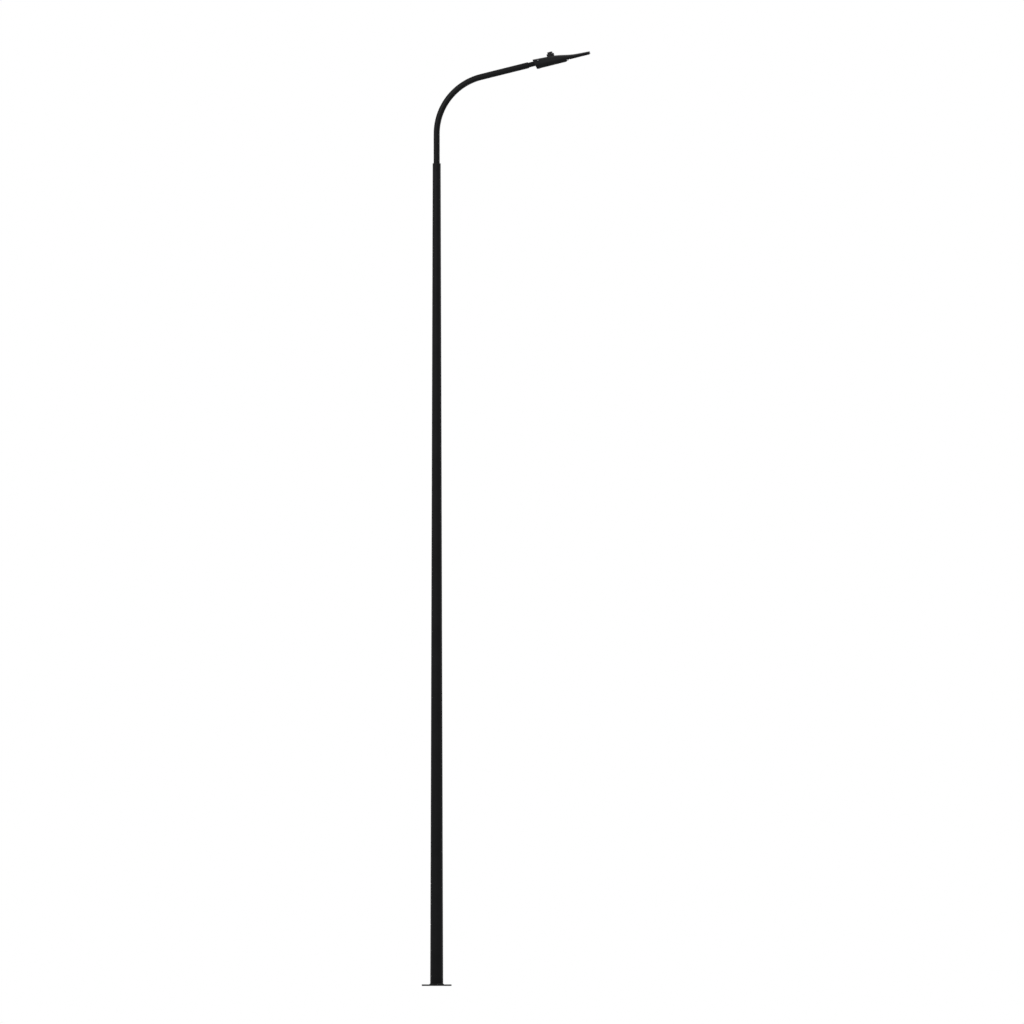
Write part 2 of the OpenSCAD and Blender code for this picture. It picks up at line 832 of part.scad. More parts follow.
// Case on the gear tray with bevels along its lower edges
module gear_case(x, y, l, w, h) {
    low_z = gear_face_z - h;
    translate([x, y, 0])
        rotate([90, 0, 90])
            linear_extrude(height = l)
                polygon([
                    [0, gear_face_z], [0, low_z + driver_bevel], [driver_bevel, low_z],
                    [w - driver_bevel, low_z], [w, low_z + driver_bevel], [w, gear_face_z]]);
}

// Driver with a slotted foot at each end
module led_driver() {
    x_from = gear_x + (gear_tray_len - driver_l) / 2;
    y_from = gear_tray_w / 2 - driver_w;
    color([0.85, 0.85, 0.84])
        on_arm()
            difference() {
                union() {
                    gear_case(x_from + driver_foot, y_from, driver_l - 2 * driver_foot, driver_w, driver_h);
                    translate([x_from, y_from + driver_bevel, gear_face_z - driver_foot_t])
                        cube([driver_l, driver_w - 2 * driver_bevel, driver_foot_t]);
                }
                for (x = [x_from, x_from + driver_l])
                    translate([x, y_from + driver_w / 2, gear_face_z - driver_h])
                        cylinder(d = driver_foot, h = 2 * driver_h);
            }
}

// Stepped terminal block with a row of screw wells and wire entries on both sides
module terminal_block() {
    x_from = gear_x + gear_space;
    y_from = -gear_tray_w / 2 + gear_space;
    low_z = gear_face_z - terminal_h;
    color([0.9, 0.9, 0.88])
        on_arm()
            difference() {
                translate([x_from, y_from, 0])
                    rotate([90, 0, 90])
                        linear_extrude(height = terminal_l)
                            polygon([
                                [0, gear_face_z], [0, low_z + terminal_step],
                                [terminal_step, low_z + terminal_step], [terminal_step, low_z],
                                [terminal_w - terminal_step, low_z],
                                [terminal_w - terminal_step, low_z + terminal_step],
                                [terminal_w, low_z + terminal_step], [terminal_w, gear_face_z]]);
                for (k = [0:terminal_poles - 1])
                    translate([x_from + terminal_l * (k + 1 / 2) / terminal_poles, y_from, 0]) {
                        translate([0, terminal_w / 2, low_z - cut_over])
                            cylinder(d = terminal_well_d, h = terminal_h / 2 + cut_over);
                        for (y = [0, terminal_w])
                            translate([0, y, gear_face_z - terminal_h / 2])
                                rotate([90, 0, 0])
                                    cylinder(d = terminal_entry_d, h = terminal_w / 3, center = true);
                    }
            }
}

// Surge protector beside the driver
module surge_protector() {
    color([0.16, 0.17, 0.2])
        on_arm()
            gear_case(gear_x + gear_space + terminal_l + gear_space, -gear_tray_w / 2 + gear_space,
                surge_l, surge_w, surge_h);
}

// Rubber lip that hangs from the rim, inside the cover
module cover_seal() {
    outside = cover_wall + move_gap;
    lip_z = sole_z - seal_h;
    color([0.05, 0.05, 0.05])
        on_arm()
            translate([0, 0, lip_z])
                linear_extrude(height = seal_h)
                    difference() {
                        polygon(cover_ring(lip_z, outside));
                        polygon(cover_ring(lip_z, outside + seal_t));
                    }
}

// Ribs on the cover's floor, kept clear of its walls
module cover_ribs() {
    low = cover_low_z + cover_floor / 2;
    intersection() {
        translate([0, 0, low])
            linear_extrude(height = cover_floor / 2 + cover_rib_h)
                polygon(cover_ring(cover_low_z, cover_edge_r + cover_wall));
        union() {
            for (k = [1:cover_rib_count])
                translate([cover_rear_x + cover_rib_pitch * k - cover_rib_t / 2, -body_w / 2, low])
                    cube([cover_rib_t, body_w, cover_h]);
            for (y = screw_ys)
                translate([screw_x, y - cover_rib_t / 2, low])
                    cube([lantern_len, cover_rib_t, cover_h]);
        }
    }
}

// Shallow ribbed tray that closes the gear bay, with a sleeve round each captive screw
module gear_cover() {
    low = cover_low_z;
    half_in = cover_edge_r * (1 - cos(45));
    color([0.13, 0.13, 0.14])
        on_arm()
            difference() {
                union() {
                    skin([
                        lifted(cover_ring(low, cover_edge_r), low),
                        lifted(cover_ring(low + half_in, half_in), low + half_in),
                        lifted(cover_ring(low + cover_edge_r, 0), low + cover_edge_r),
                        lifted(cover_ring(cover_top_z, 0), cover_top_z),
                        lifted(cover_ring(cover_top_z, cover_wall), cover_top_z),
                        lifted(cover_ring(low + cover_floor, cover_wall), low + cover_floor)]);
                    cover_ribs();
                    for (y = screw_ys)
                        translate([screw_x, y, low + cover_floor / 2])
                            cylinder(d = screw_boss_d, h = cover_h - cover_floor / 2);
                }
                for (y = screw_ys)
                    translate([screw_x, y, low - cut_over])
                        cylinder(d = screw_hole_d, h = cover_h + 2 * cut_over);
            }
}

// Sides of the two hinges
hinge_ys = [-hinge_spread / 2, hinge_spread / 2];

// Round bar along a hinge
module hinge_bar(y, d, l) {
    translate([hinge_x, y, hinge_z])
        rotate([90, 0, 0])
            cylinder(d = d, h = l, center = true);
}

// Arms from the cover's front wall to the hinge pins
module hinge_arms() {
    top_z = hinge_z + pin_d / 2;
    low_z = hinge_z - knuckle_d / 2 + pin_gap;
    color([0.13, 0.13, 0.14])
        on_arm()
            for (y = hinge_ys)
                difference() {
                    union() {
                        hinge_bar(y, knuckle_d, arm_w);
                        translate([0, y, 0])
                            across(arm_w)
                                polygon([
                                    [cover_front(top_z - move_gap / 2) + seat_gap, top_z - move_gap / 2],
                                    [hinge_x, top_z - pin_gap],
                                    [hinge_x, low_z],
                                    [cover_front(low_z) + seat_gap, low_z]]);
                    }
                    hinge_bar(y, pin_d + 2 * pin_gap, arm_w + cut_over);
                }
}

// Lugs under the body on both sides of each hinge arm
module hinge_lugs() {
    color([0.12, 0.12, 0.13])
        on_arm()
            for (y = hinge_ys, side = [-1, 1])
                let (lug_y = y + side * (arm_w / 2 + pin_gap + lug_t / 2))
                    difference() {
                        union() {
                            hinge_bar(lug_y, knuckle_d, lug_t);
                            translate([hinge_x - knuckle_d / 2, lug_y - lug_t / 2, hinge_z])
                                cube([knuckle_d, lug_t, sole_z - hinge_z]);
                        }
                        hinge_bar(lug_y, pin_d + 2 * pin_gap, lug_t + cut_over);
                    }
}

// Stainless pins through the lugs and arms
module hinge_pins() {
    color([0.7, 0.7, 0.72])
        on_arm()
            for (y = hinge_ys)
                hinge_bar(y, pin_d, arm_w + 2 * lug_t + 4 * pin_gap);
}

// Flat frame that holds the glass under the lamps
module optic_frame() {
    color([0.13, 0.13, 0.14])
        on_arm()
            translate([optic_mid_x, 0, sole_z - optic_t])
                linear_extrude(height = optic_t)
                    difference() {
                        polygon(round_rect(optic_len, optic_w, optic_corner_r));
                        polygon(round_rect(optic_len - 2 * optic_rim, optic_w - 2 * optic_rim,
                            optic_corner_r - optic_rim));
                    }
}

// Flat glass on the frame
module optic_glass() {
    color([0.8, 0.86, 0.88, 0.4])
        on_arm()
            translate([optic_mid_x, 0, sole_z])
                linear_extrude(height = glass_t)
                    polygon(round_rect(glass_len, glass_w, glass_corner_r));
}

// Lamp board against the roof of the recess
module led_board() {
    color([0.92, 0.92, 0.9])
        on_arm()
            translate([optic_mid_x, 0, board_z])
                linear_extrude(height = board_t)
                    polygon(round_rect(glass_len - 2 * board_inset, glass_w - 2 * board_inset,
                        glass_corner_r - board_inset));
}

// Plate of domed lenses, one to each lamp
module lens_array() {
    dome_r = (lens_d * lens_d / 4 + lens_h * lens_h) / (2 * lens_h);
    color([0.9, 0.93, 0.95, 0.6])
        on_arm()
            translate([optic_mid_x, 0, lens_z])
                union() {
                    translate([-lens_pitch_x * lens_count_x / 2, -lens_pitch_y * lens_count_y / 2, 0])
                        cube([lens_pitch_x * lens_count_x, lens_pitch_y * lens_count_y, lens_plate_t]);
                    for (i = [0:lens_count_x - 1], j = [0:lens_count_y - 1])
                        translate([(i - (lens_count_x - 1) / 2) * lens_pitch_x,
                                (j - (lens_count_y - 1) / 2) * lens_pitch_y, 0])
                            intersection() {
                                translate([0, 0, dome_r - lens_h])
                                    sphere(r = dome_r, $fn = 32);
                                translate([0, 0, -lens_h])
                                    cylinder(d = lens_d, h = lens_h + lens_plate_t / 2, $fn = 32);
                            }
                }
}

// Round socket on the roof, bored for the photocell's foot
module photocell_socket() {
    r = socket_d / 2;
    hole_r = cell_foot_d / 2 + 2 * seat_gap;
    hole_z = socket_top - cell_foot_h - 2 * seat_gap;
    color([0.07, 0.07, 0.075])
        on_arm()
            translate([cell_x, 0, 0])
                rotate_extrude()
                    polygon([[0, socket_seat], [r, socket_seat], [r, socket_top - socket_bevel],
                        [r - socket_bevel, socket_top], [hole_r, socket_top], [hole_r, hole_z],
                        [0, hole_z]]);
}

// Photocell with a rounded top, grip flutes and a foot in the socket
module photocell() {
    r = cell_d / 2;
    low_z = socket_top + seat_gap;
    top_z = low_z + cell_h;
    foot_r = cell_foot_d / 2;
    round_pts = [for (k = [0:corner_steps]) let (a = 90 * k / corner_steps)
        [r - cell_round + cell_round * cos(a), top_z - cell_round + cell_round * sin(a)]];
    color([0.09, 0.09, 0.1])
        on_arm()
            translate([cell_x, 0, 0])
                difference() {
                    rotate_extrude()
                        polygon(concat(
                            [[0, low_z - cell_foot_h], [foot_r, low_z - cell_foot_h],
                             [foot_r, low_z], [r, low_z]],
                            round_pts,
                            [[0, top_z]]));
                    for (k = [0:flute_count - 1])
                        rotate([0, 0, 360 * k / flute_count])
                            translate([r + flute_d / 2 - flute_depth, 0, low_z + flute_lift])
                                cylinder(d = flute_d, h = cell_h - cell_round - 2 * flute_lift, $fn = 16);
                }
}

base_plate();
foot_weld();
column_shaft();
door_frame();
door_cover();
door_locks();
bracket_collar();
bracket_tube();
arm_spigot();
spigot_gland();
lantern_housing();
spigot_saddle();
spigot_strap();
gear_tray();
led_driver();
terminal_block();
surge_protector();
cover_seal();
gear_cover();
hinge_arms();
hinge_lugs();
hinge_pins();
optic_frame();
optic_glass();
led_board();
lens_array();
photocell_socket();
photocell();
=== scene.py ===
# %% [markdown]
# # A street lighting column
# The CAD gives every solid piece of the column in metres: the tapered shaft, the bent bracket and
# the lantern. This lesson gives those pieces their finish and adds the small hardware that CAD
# leaves out, such as screws and weld beads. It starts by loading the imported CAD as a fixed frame,
# because every new piece is placed from what that frame measures.

# %% Load the frame
import json
import math

import bmesh
import bpy
from mathutils import Matrix, Vector
from mathutils.bvhtree import BVHTree

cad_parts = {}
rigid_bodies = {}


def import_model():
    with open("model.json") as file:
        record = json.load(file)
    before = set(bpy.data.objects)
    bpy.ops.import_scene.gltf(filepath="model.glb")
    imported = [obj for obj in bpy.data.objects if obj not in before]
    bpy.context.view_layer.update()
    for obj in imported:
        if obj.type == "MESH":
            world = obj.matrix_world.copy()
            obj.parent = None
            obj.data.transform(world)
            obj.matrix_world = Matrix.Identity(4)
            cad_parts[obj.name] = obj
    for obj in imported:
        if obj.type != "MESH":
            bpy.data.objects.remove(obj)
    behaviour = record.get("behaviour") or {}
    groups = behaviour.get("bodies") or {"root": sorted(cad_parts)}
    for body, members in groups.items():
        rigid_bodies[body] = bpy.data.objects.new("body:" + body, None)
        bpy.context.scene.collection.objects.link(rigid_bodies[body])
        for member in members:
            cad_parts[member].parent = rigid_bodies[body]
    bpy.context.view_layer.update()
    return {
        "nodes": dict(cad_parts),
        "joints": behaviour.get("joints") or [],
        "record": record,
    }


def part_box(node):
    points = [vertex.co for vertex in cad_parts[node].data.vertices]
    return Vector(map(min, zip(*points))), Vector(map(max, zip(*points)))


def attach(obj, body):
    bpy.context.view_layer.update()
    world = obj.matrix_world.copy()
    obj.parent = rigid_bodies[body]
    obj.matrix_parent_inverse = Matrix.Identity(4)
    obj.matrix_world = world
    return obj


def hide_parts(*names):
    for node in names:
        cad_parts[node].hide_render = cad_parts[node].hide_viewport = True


for left_over in list(bpy.data.objects):
    bpy.data.objects.remove(left_over)
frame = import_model()

# %% [markdown]
# The lantern leans with the arm, so its small pieces are easiest to place in a frame of its own:
# X along the arm from the bracket's end, Y across and Z square to the arm. The photocell's joint
# already holds that lean in its axis, so the frame is taken from the joint and never typed twice.

# %% The lantern's own frame
MM = 0.001
CELL_ALONG, CELL_UP = 230 * MM, 58.3 * MM
joints = {joint["name"]: joint for joint in frame["joints"]}
up = Vector(joints["photocell_twist"]["axis"]).normalized()
across = Vector((0, 1, 0))
along = across.cross(up)
arm_end = Vector(joints["photocell_twist"]["pos_m"]) - along * CELL_ALONG - up * CELL_UP
lantern_turn = Matrix((along, across, up)).transposed().to_4x4()
lantern = Matrix.Translation(arm_end) @ lantern_turn
ARM_TILT = math.asin(along.z)
print("arm ends at", [round(v, 3) for v in arm_end], "tilted", round(math.degrees(ARM_TILT), 2))

# %% [markdown]
# The photograph is a plain side view in which no line converges, so the camera is orthographic and
# level. Its scale and centre come from two measures on the photograph: the shaft's 8 m and the
# place of the column's axis and foot in the frame.

# %% The camera
MM_PER_PIXEL = 9.7532
FRAME_PIXELS = 1024
AXIS_PIXEL, FOOT_PIXEL = 436.68, 985.93
CAMERA_BACK, CAMERA_REACH = 30, 200
pixel = MM_PER_PIXEL * MM
camera_data = bpy.data.cameras.new("side_view")
camera_data.type = "ORTHO"
camera_data.ortho_scale = FRAME_PIXELS * pixel
camera_data.clip_end = CAMERA_REACH
camera = bpy.data.objects.new("side_view", camera_data)
bpy.context.scene.collection.objects.link(camera)
camera.location = ((FRAME_PIXELS / 2 - AXIS_PIXEL) * pixel, -CAMERA_BACK,
                   (FOOT_PIXEL - FRAME_PIXELS / 2) * pixel)
camera.rotation_euler = (math.pi / 2, 0, 0)
bpy.context.scene.camera = camera
bpy.context.scene.view_settings.view_transform = "Standard"
print("camera at", [round(v, 3) for v in camera.location], "frame", camera_data.ortho_scale)

# %% [markdown]
# Materials are made of nodes, and a few short helpers keep the node code readable: one adds a node
# and fills its sockets, and others mix two colours or remap a value.

# %% Node helpers
def feed(tree, socket, value):
    if isinstance(value, bpy.types.NodeSocket):
        tree.links.new(value, socket)
    elif socket.type == "RGBA":
        socket.default_value = (*value[:3], 1.0)
    else:
        socket.default_value = value


def add_node(tree, kind, settings=None, **sockets):
    made = tree.nodes.new("ShaderNode" + kind)
    for name, value in (settings or {}).items():
        setattr(made, name, value)
    for name, value in sockets.items():
        feed(tree, made.inputs[name.replace("_", " ")], value)
    return made


def remap(tree, value, low, high, to_low=0.0, to_high=1.0):
    made = add_node(tree, "MapRange", Value=value, From_Min=low, From_Max=high, To_Min=to_low,
                    To_Max=to_high)
    return made.outputs["Result"]


def maths(tree, operation, first, second):
    made = add_node(tree, "Math", {"operation": operation})
    feed(tree, made.inputs[0], first)
    feed(tree, made.inputs[1], second)
    return made.outputs["Value"]


def mix_colour(tree, factor, first, second):
    made = add_node(tree, "Mix", {"data_type": "RGBA"})
    for index, value in ((0, factor), (6, first), (7, second)):
        feed(tree, made.inputs[index], value)
    return made.outputs[2]


def new_group(name, inputs, outputs):
    tree = bpy.data.node_groups.new(name, "ShaderNodeTree")
    for label, default in inputs.items():
        socket = tree.interface.new_socket(label, in_out="INPUT", socket_type="NodeSocketFloat")
        socket.default_value = default
    for label in outputs:
        tree.interface.new_socket(label, in_out="OUTPUT", socket_type="NodeSocketFloat")
    return tree, tree.nodes.new("NodeGroupInput"), tree.nodes.new("NodeGroupOutput")


def use_group(tree, group, **sockets):
    made = tree.nodes.new("ShaderNodeGroup")
    made.node_tree = group
    for name, value in sockets.items():
        made.inputs[name.replace("_", " ")].default_value = value
    return made


print("node helpers ready")

# %% [markdown]
# Four effects recur on outdoor metal: the fine grain of a coating, dust that settles on faces that
# look up, streaks that rain leaves down a tall face, and paint rubbed thin along edges. Each is a
# node group with its own inputs, so every material places it at its own scale. The wear reads an
# attribute that marks the eased edges of a piece, so it follows the real edges from any side.

# %% Shared effects
def grain_group():
    tree, given, out = new_group("coating_grain", {"Size": 600.0, "Mottle": 8.0},
                                 ("Height", "Mottling"))
    place = add_node(tree, "TexCoord").outputs["Object"]
    fine = add_node(tree, "TexNoise", Vector=place, Scale=given.outputs["Size"], Detail=3.0)
    broad = add_node(tree, "TexNoise", Vector=place, Scale=given.outputs["Mottle"], Detail=4.0)
    feed(tree, out.inputs["Height"], fine.outputs["Fac"])
    feed(tree, out.inputs["Mottling"], remap(tree, broad.outputs["Fac"], 0.3, 0.7))
    return tree


def dust_group():
    tree, given, out = new_group("settled_dust", {"Patch Size": 30.0, "Amount": 0.5}, ("Mask",))
    source = add_node(tree, "TexCoord")
    looks_up = add_node(tree, "SeparateXYZ", Vector=source.outputs["Normal"]).outputs["Z"]
    patches = add_node(tree, "TexNoise", Vector=source.outputs["Object"],
                       Scale=given.outputs["Patch Size"], Detail=5.0, Roughness=0.65)
    settled = maths(tree, "MULTIPLY", remap(tree, looks_up, 0.25, 1.0),
                    remap(tree, patches.outputs["Fac"], 0.3, 0.75))
    feed(tree, out.inputs["Mask"], maths(tree, "MULTIPLY", settled, given.outputs["Amount"]))
    return tree


def streak_group():
    tree, given, out = new_group("rain_streaks", {"Width": 60.0, "Amount": 0.5}, ("Mask",))
    place = add_node(tree, "TexCoord").outputs["Object"]
    drawn_out = add_node(tree, "Mapping", Vector=place, Scale=(1.0, 1.0, 0.03))
    lines = add_node(tree, "TexNoise", Vector=drawn_out.outputs["Vector"],
                     Scale=given.outputs["Width"], Detail=4.0, Roughness=0.6)
    feed(tree, out.inputs["Mask"],
         maths(tree, "MULTIPLY", remap(tree, lines.outputs["Fac"], 0.45, 0.75),
               given.outputs["Amount"]))
    return tree


def wear_group():
    tree, given, out = new_group("edge_wear", {"Patch Size": 120.0, "Amount": 0.5}, ("Mask",))
    place = add_node(tree, "TexCoord").outputs["Object"]
    edge = add_node(tree, "Attribute", {"attribute_name": "eased_edge"}).outputs["Fac"]
    patches = add_node(tree, "TexNoise", Vector=place, Scale=given.outputs["Patch Size"],
                       Detail=4.0, Roughness=0.6)
    rubbed = maths(tree, "MULTIPLY", edge, remap(tree, patches.outputs["Fac"], 0.4, 0.65))
    feed(tree, out.inputs["Mask"], maths(tree, "MULTIPLY", rubbed, given.outputs["Amount"]))
    return tree


coating_grain = grain_group()
settled_dust = dust_group()
rain_streaks = streak_group()
edge_wear = wear_group()
print("effects", [group.name for group in bpy.data.node_groups])

# %% [markdown]
# Each finish ends in one Principled shader. Values that are the same all over, such as the
# specular level, sit on the shader's own sockets, and only what varies comes through nodes. One
# function makes every coated or moulded surface, because paint, powder coat and plastic differ
# only in colour, gloss and the size of their grain.

# %% Finish helpers
DUST = (0.16, 0.15, 0.13)
GRAIN_STRENGTH, GRAIN_DEPTH = 0.35, 0.2 * MM


def new_finish(name, roughness=0.5, metallic=0.0, specular=0.5):
    material = bpy.data.materials.new(name)
    material.use_nodes = True
    shader = material.node_tree.nodes["Principled BSDF"]
    shader.inputs["Roughness"].default_value = roughness
    shader.inputs["Metallic"].default_value = metallic
    shader.inputs["Specular IOR Level"].default_value = specular
    return material, material.node_tree, shader


def bump(tree, shader, height, strength, distance):
    made = add_node(tree, "Bump", Height=height, Strength=strength, Distance=distance)
    feed(tree, shader.inputs["Normal"], made.outputs["Normal"])


def coated(name, dark, light, grain, mottle, roughness, specular, dust=0.0, streaks=0.0, wear=0.0,
           worn=None, metallic=0.0):
    """A coating that varies between two close colours, with grain, dust, streaks and wear."""
    material, tree, shader = new_finish(name, roughness[0], metallic, specular)
    surface = use_group(tree, coating_grain, Size=grain, Mottle=mottle)
    colour = mix_colour(tree, surface.outputs["Mottling"], dark, light)
    if streaks:
        marks = use_group(tree, rain_streaks, Width=70.0, Amount=streaks)
        colour = mix_colour(tree, marks.outputs["Mask"], colour, light)
    if wear:
        rubbed = use_group(tree, edge_wear, Patch_Size=120.0, Amount=wear)
        colour = mix_colour(tree, rubbed.outputs["Mask"], colour, worn)
    if dust:
        settled = use_group(tree, settled_dust, Patch_Size=35.0, Amount=dust)
        colour = mix_colour(tree, settled.outputs["Mask"], colour, DUST)
    feed(tree, shader.inputs["Base Color"], colour)
    feed(tree, shader.inputs["Roughness"],
         remap(tree, surface.outputs["Mottling"], 0.0, 1.0, *roughness))
    bump(tree, shader, surface.outputs["Height"], GRAIN_STRENGTH, GRAIN_DEPTH)
    return material


print("finish helpers ready")

# %% [markdown]
# The column and bracket carry a near-black satin paint over galvanised steel, and the lantern a
# near-black powder coat with a finer, slightly rougher grain. Both are kept dark and only a little
# glossy, because the photograph shows almost no highlight on them. The flange plate has the
# column's paint with more dust and paler rubbed edges, because it lies at the ground.

# %% Paints
column_paint = coated("column_paint", (0.0038, 0.0038, 0.0042), (0.0061, 0.0061, 0.0066),
                      grain=350.0, mottle=5.0, roughness=(0.42, 0.56), specular=0.075, dust=0.06,
                      streaks=0.5, wear=0.35, worn=(0.05, 0.05, 0.05))
lantern_coat = coated("lantern_coat", (0.0042, 0.0042, 0.0046), (0.0068, 0.0068, 0.0073),
                      grain=900.0, mottle=14.0, roughness=(0.5, 0.64), specular=0.085, dust=0.06,
                      wear=0.3, worn=(0.05, 0.05, 0.052))
plate_paint = coated("plate_paint", (0.0038, 0.0038, 0.0042), (0.0061, 0.0061, 0.0066),
                     grain=350.0, mottle=9.0, roughness=(0.46, 0.62), specular=0.075, dust=0.16,
                     wear=0.35, worn=(0.06, 0.058, 0.055))
print("paints", column_paint.name, lantern_coat.name, plate_paint.name)

# %% [markdown]
# Small metal parts stay bare: stainless fasteners and brass terminal screws with a brushed finish,
# a cast clamp and a zinc-plated gear tray whose crystals show as faint patches. Noise drawn out
# along one axis gives the brushing, and the cells of a Voronoi texture give the crystals.

# %% Bare metals
def brushed(name, colour, fineness):
    material, tree, shader = new_finish(name, roughness=0.3, metallic=1.0)
    place = add_node(tree, "TexCoord").outputs["Object"]
    drawn_out = add_node(tree, "Mapping", Vector=place, Scale=(1.0, 8.0, 8.0))
    lines = add_node(tree, "TexNoise", Vector=drawn_out.outputs["Vector"], Scale=fineness,
                     Detail=3.0).outputs["Fac"]
    feed(tree, shader.inputs["Base Color"],
         mix_colour(tree, lines, [c * 0.8 for c in colour], colour))
    feed(tree, shader.inputs["Roughness"], remap(tree, lines, 0.3, 0.7, 0.22, 0.4))
    bump(tree, shader, lines, strength=0.15, distance=0.05 * MM)
    return material


def spangled(name, dark, light, size):
    material, tree, shader = new_finish(name, roughness=0.4, metallic=1.0)
    place = add_node(tree, "TexCoord").outputs["Object"]
    crystals = add_node(tree, "TexVoronoi", Vector=place, Scale=size)
    tone = add_node(tree, "SeparateColor", Color=crystals.outputs["Color"]).outputs["Red"]
    feed(tree, shader.inputs["Base Color"], mix_colour(tree, tone, dark, light))
    feed(tree, shader.inputs["Roughness"], remap(tree, tone, 0.0, 1.0, 0.32, 0.5))
    return material


stainless = brushed("stainless", (0.62, 0.62, 0.63), fineness=900.0)
brass = brushed("brass", (0.62, 0.47, 0.22), fineness=1200.0)
zinc_sheet = spangled("zinc_sheet", (0.42, 0.43, 0.45), (0.6, 0.61, 0.63), size=120.0)
cast_aluminium = coated("cast_aluminium", (0.38, 0.38, 0.39), (0.5, 0.5, 0.51), grain=700.0,
                        mottle=40.0, roughness=(0.42, 0.55), specular=0.5, metallic=0.9)
print("metals", stainless.name, brass.name, zinc_sheet.name, cast_aluminium.name)

# %% [markdown]
# The rest is rubber and moulded plastic. They share the coating's nodes with other colours: a dull
# black for the seals, white for the driver's case and dark tones for the photocell.

# %% Rubber and plastics
seal_rubber = coated("seal_rubber", (0.0042, 0.0042, 0.0044), (0.0066, 0.0066, 0.0068),
                     grain=500.0, mottle=30.0, roughness=(0.7, 0.85), specular=0.08, dust=0.04)
driver_case = coated("driver_case", (0.66, 0.66, 0.64), (0.74, 0.74, 0.72), grain=1200.0,
                     mottle=25.0, roughness=(0.45, 0.55), specular=0.4)
terminal_plastic = coated("terminal_plastic", (0.62, 0.6, 0.54), (0.7, 0.68, 0.62), grain=1500.0,
                          mottle=60.0, roughness=(0.3, 0.4), specular=0.5)
surge_case = coated("surge_case", (0.03, 0.04, 0.07), (0.045, 0.055, 0.09), grain=1500.0,
                    mottle=60.0, roughness=(0.35, 0.45), specular=0.5)
socket_plastic = coated("socket_plastic", (0.006, 0.006, 0.0065), (0.010, 0.010, 0.0105),
                        grain=1200.0, mottle=50.0, roughness=(0.5, 0.62), specular=0.15, dust=0.08)
cell_plastic = coated("cell_plastic", (0.007, 0.007, 0.0075), (0.011, 0.011, 0.0115), grain=1500.0,
                      mottle=50.0, roughness=(0.35, 0.48), specular=0.2, dust=0.08)
cell_window = coated("cell_window", (0.20, 0.22, 0.25), (0.26, 0.28, 0.31), grain=1500.0,
                     mottle=90.0, roughness=(0.12, 0.2), specular=0.5)
phosphor = coated("phosphor", (0.75, 0.60, 0.16), (0.83, 0.68, 0.22), grain=2500.0, mottle=300.0,
                  roughness=(0.4, 0.5), specular=0.4)
print("plastics ready")

# %% [markdown]
# Glass and lenses let light through. The glass keeps a plain transmission and gets its life from
# faint smears in the roughness. The lamp board is white with pale copper tracks in rows.

# %% Glass, lenses and lamp board
def clear(name, tint, ior, smears):
    material, tree, shader = new_finish(name, roughness=0.05)
    shader.inputs["Transmission Weight"].default_value = 1.0
    shader.inputs["IOR"].default_value = ior
    place = add_node(tree, "TexCoord").outputs["Object"]
    film = add_node(tree, "TexNoise", Vector=place, Scale=smears, Detail=4.0).outputs["Fac"]
    feed(tree, shader.inputs["Base Color"],
         mix_colour(tree, film, [t * 0.96 for t in tint], tint))
    feed(tree, shader.inputs["Roughness"], remap(tree, film, 0.4, 0.75, 0.02, 0.05))
    return material


def board_finish():
    material, tree, shader = new_finish("lamp_board", roughness=0.4)
    place = add_node(tree, "TexCoord").outputs["Object"]
    level = add_node(tree, "Mapping", Vector=place, Rotation=(0.0, ARM_TILT, 0.0))
    tracks = add_node(tree, "TexBrick", Vector=level.outputs["Vector"], Scale=18.0,
                      Color1=(0.8, 0.8, 0.78), Color2=(0.74, 0.74, 0.72),
                      Mortar=(0.62, 0.5, 0.33), Mortar_Size=0.01)
    feed(tree, shader.inputs["Base Color"], tracks.outputs["Color"])
    return material


optic_glass = clear("optic_glass", (0.93, 0.97, 0.96), ior=1.5, smears=18.0)
lens_acrylic = clear("lens_acrylic", (0.97, 0.98, 0.98), ior=1.49, smears=60.0)
lamp_board = board_finish()
print("clear finishes", optic_glass.name, lens_acrylic.name, lamp_board.name)

# %% [markdown]
# Every CAD node now takes its finish, by the slot that the record gives it. Nodes that get a
# finer piece later are hidden then.

# %% Dress the CAD nodes
FINISH = {
    "column_paint": column_paint, "lantern_paint": lantern_coat, "stainless": stainless,
    "clamp_casting": cast_aluminium, "gear_steel": zinc_sheet, "seal_rubber": seal_rubber,
    "driver_case": driver_case, "terminal_plastic": terminal_plastic, "surge_case": surge_case,
    "optic_glass": optic_glass, "lamp_board": lamp_board, "lens_acrylic": lens_acrylic,
    "socket_plastic": socket_plastic, "cell_plastic": cell_plastic,
}
slot_of = {row["node"]: row["material_slot"] for row in frame["record"]["subparts"]}
for node_name, cad_piece in frame["nodes"].items():
    cad_piece.material_slots[0].material = FINISH[slot_of[node_name]]
print("dressed", len(frame["nodes"]), "nodes")

# %% [markdown]
# Every new piece is made in the same way: its mesh becomes an object, rides on a body of the CAD
# and takes a finish. A piece that is drawn from a CAD node starts from a copy of the node's mesh
# with its loose triangles merged.

# %% Piece helpers
MERGE_WITHIN = 0.02 * MM


def make_piece(name, bm, body, finish, stands_for=(), smooth_below=40.0):
    """Turns a bmesh into an object that rides on a body and takes a slot's finish."""
    for face in bm.faces:
        face.smooth = True
    for edge in bm.edges:
        edge.smooth = edge.calc_face_angle(0.0) < math.radians(smooth_below)
    mesh = bpy.data.meshes.new(name)
    bm.to_mesh(mesh)
    bm.free()
    mesh.materials.append(finish)
    piece = bpy.data.objects.new(name, mesh)
    bpy.context.scene.collection.objects.link(piece)
    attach(piece, body)
    if stands_for:
        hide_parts(*stands_for)
    print(name, len(mesh.polygons), "faces on", body)
    return piece


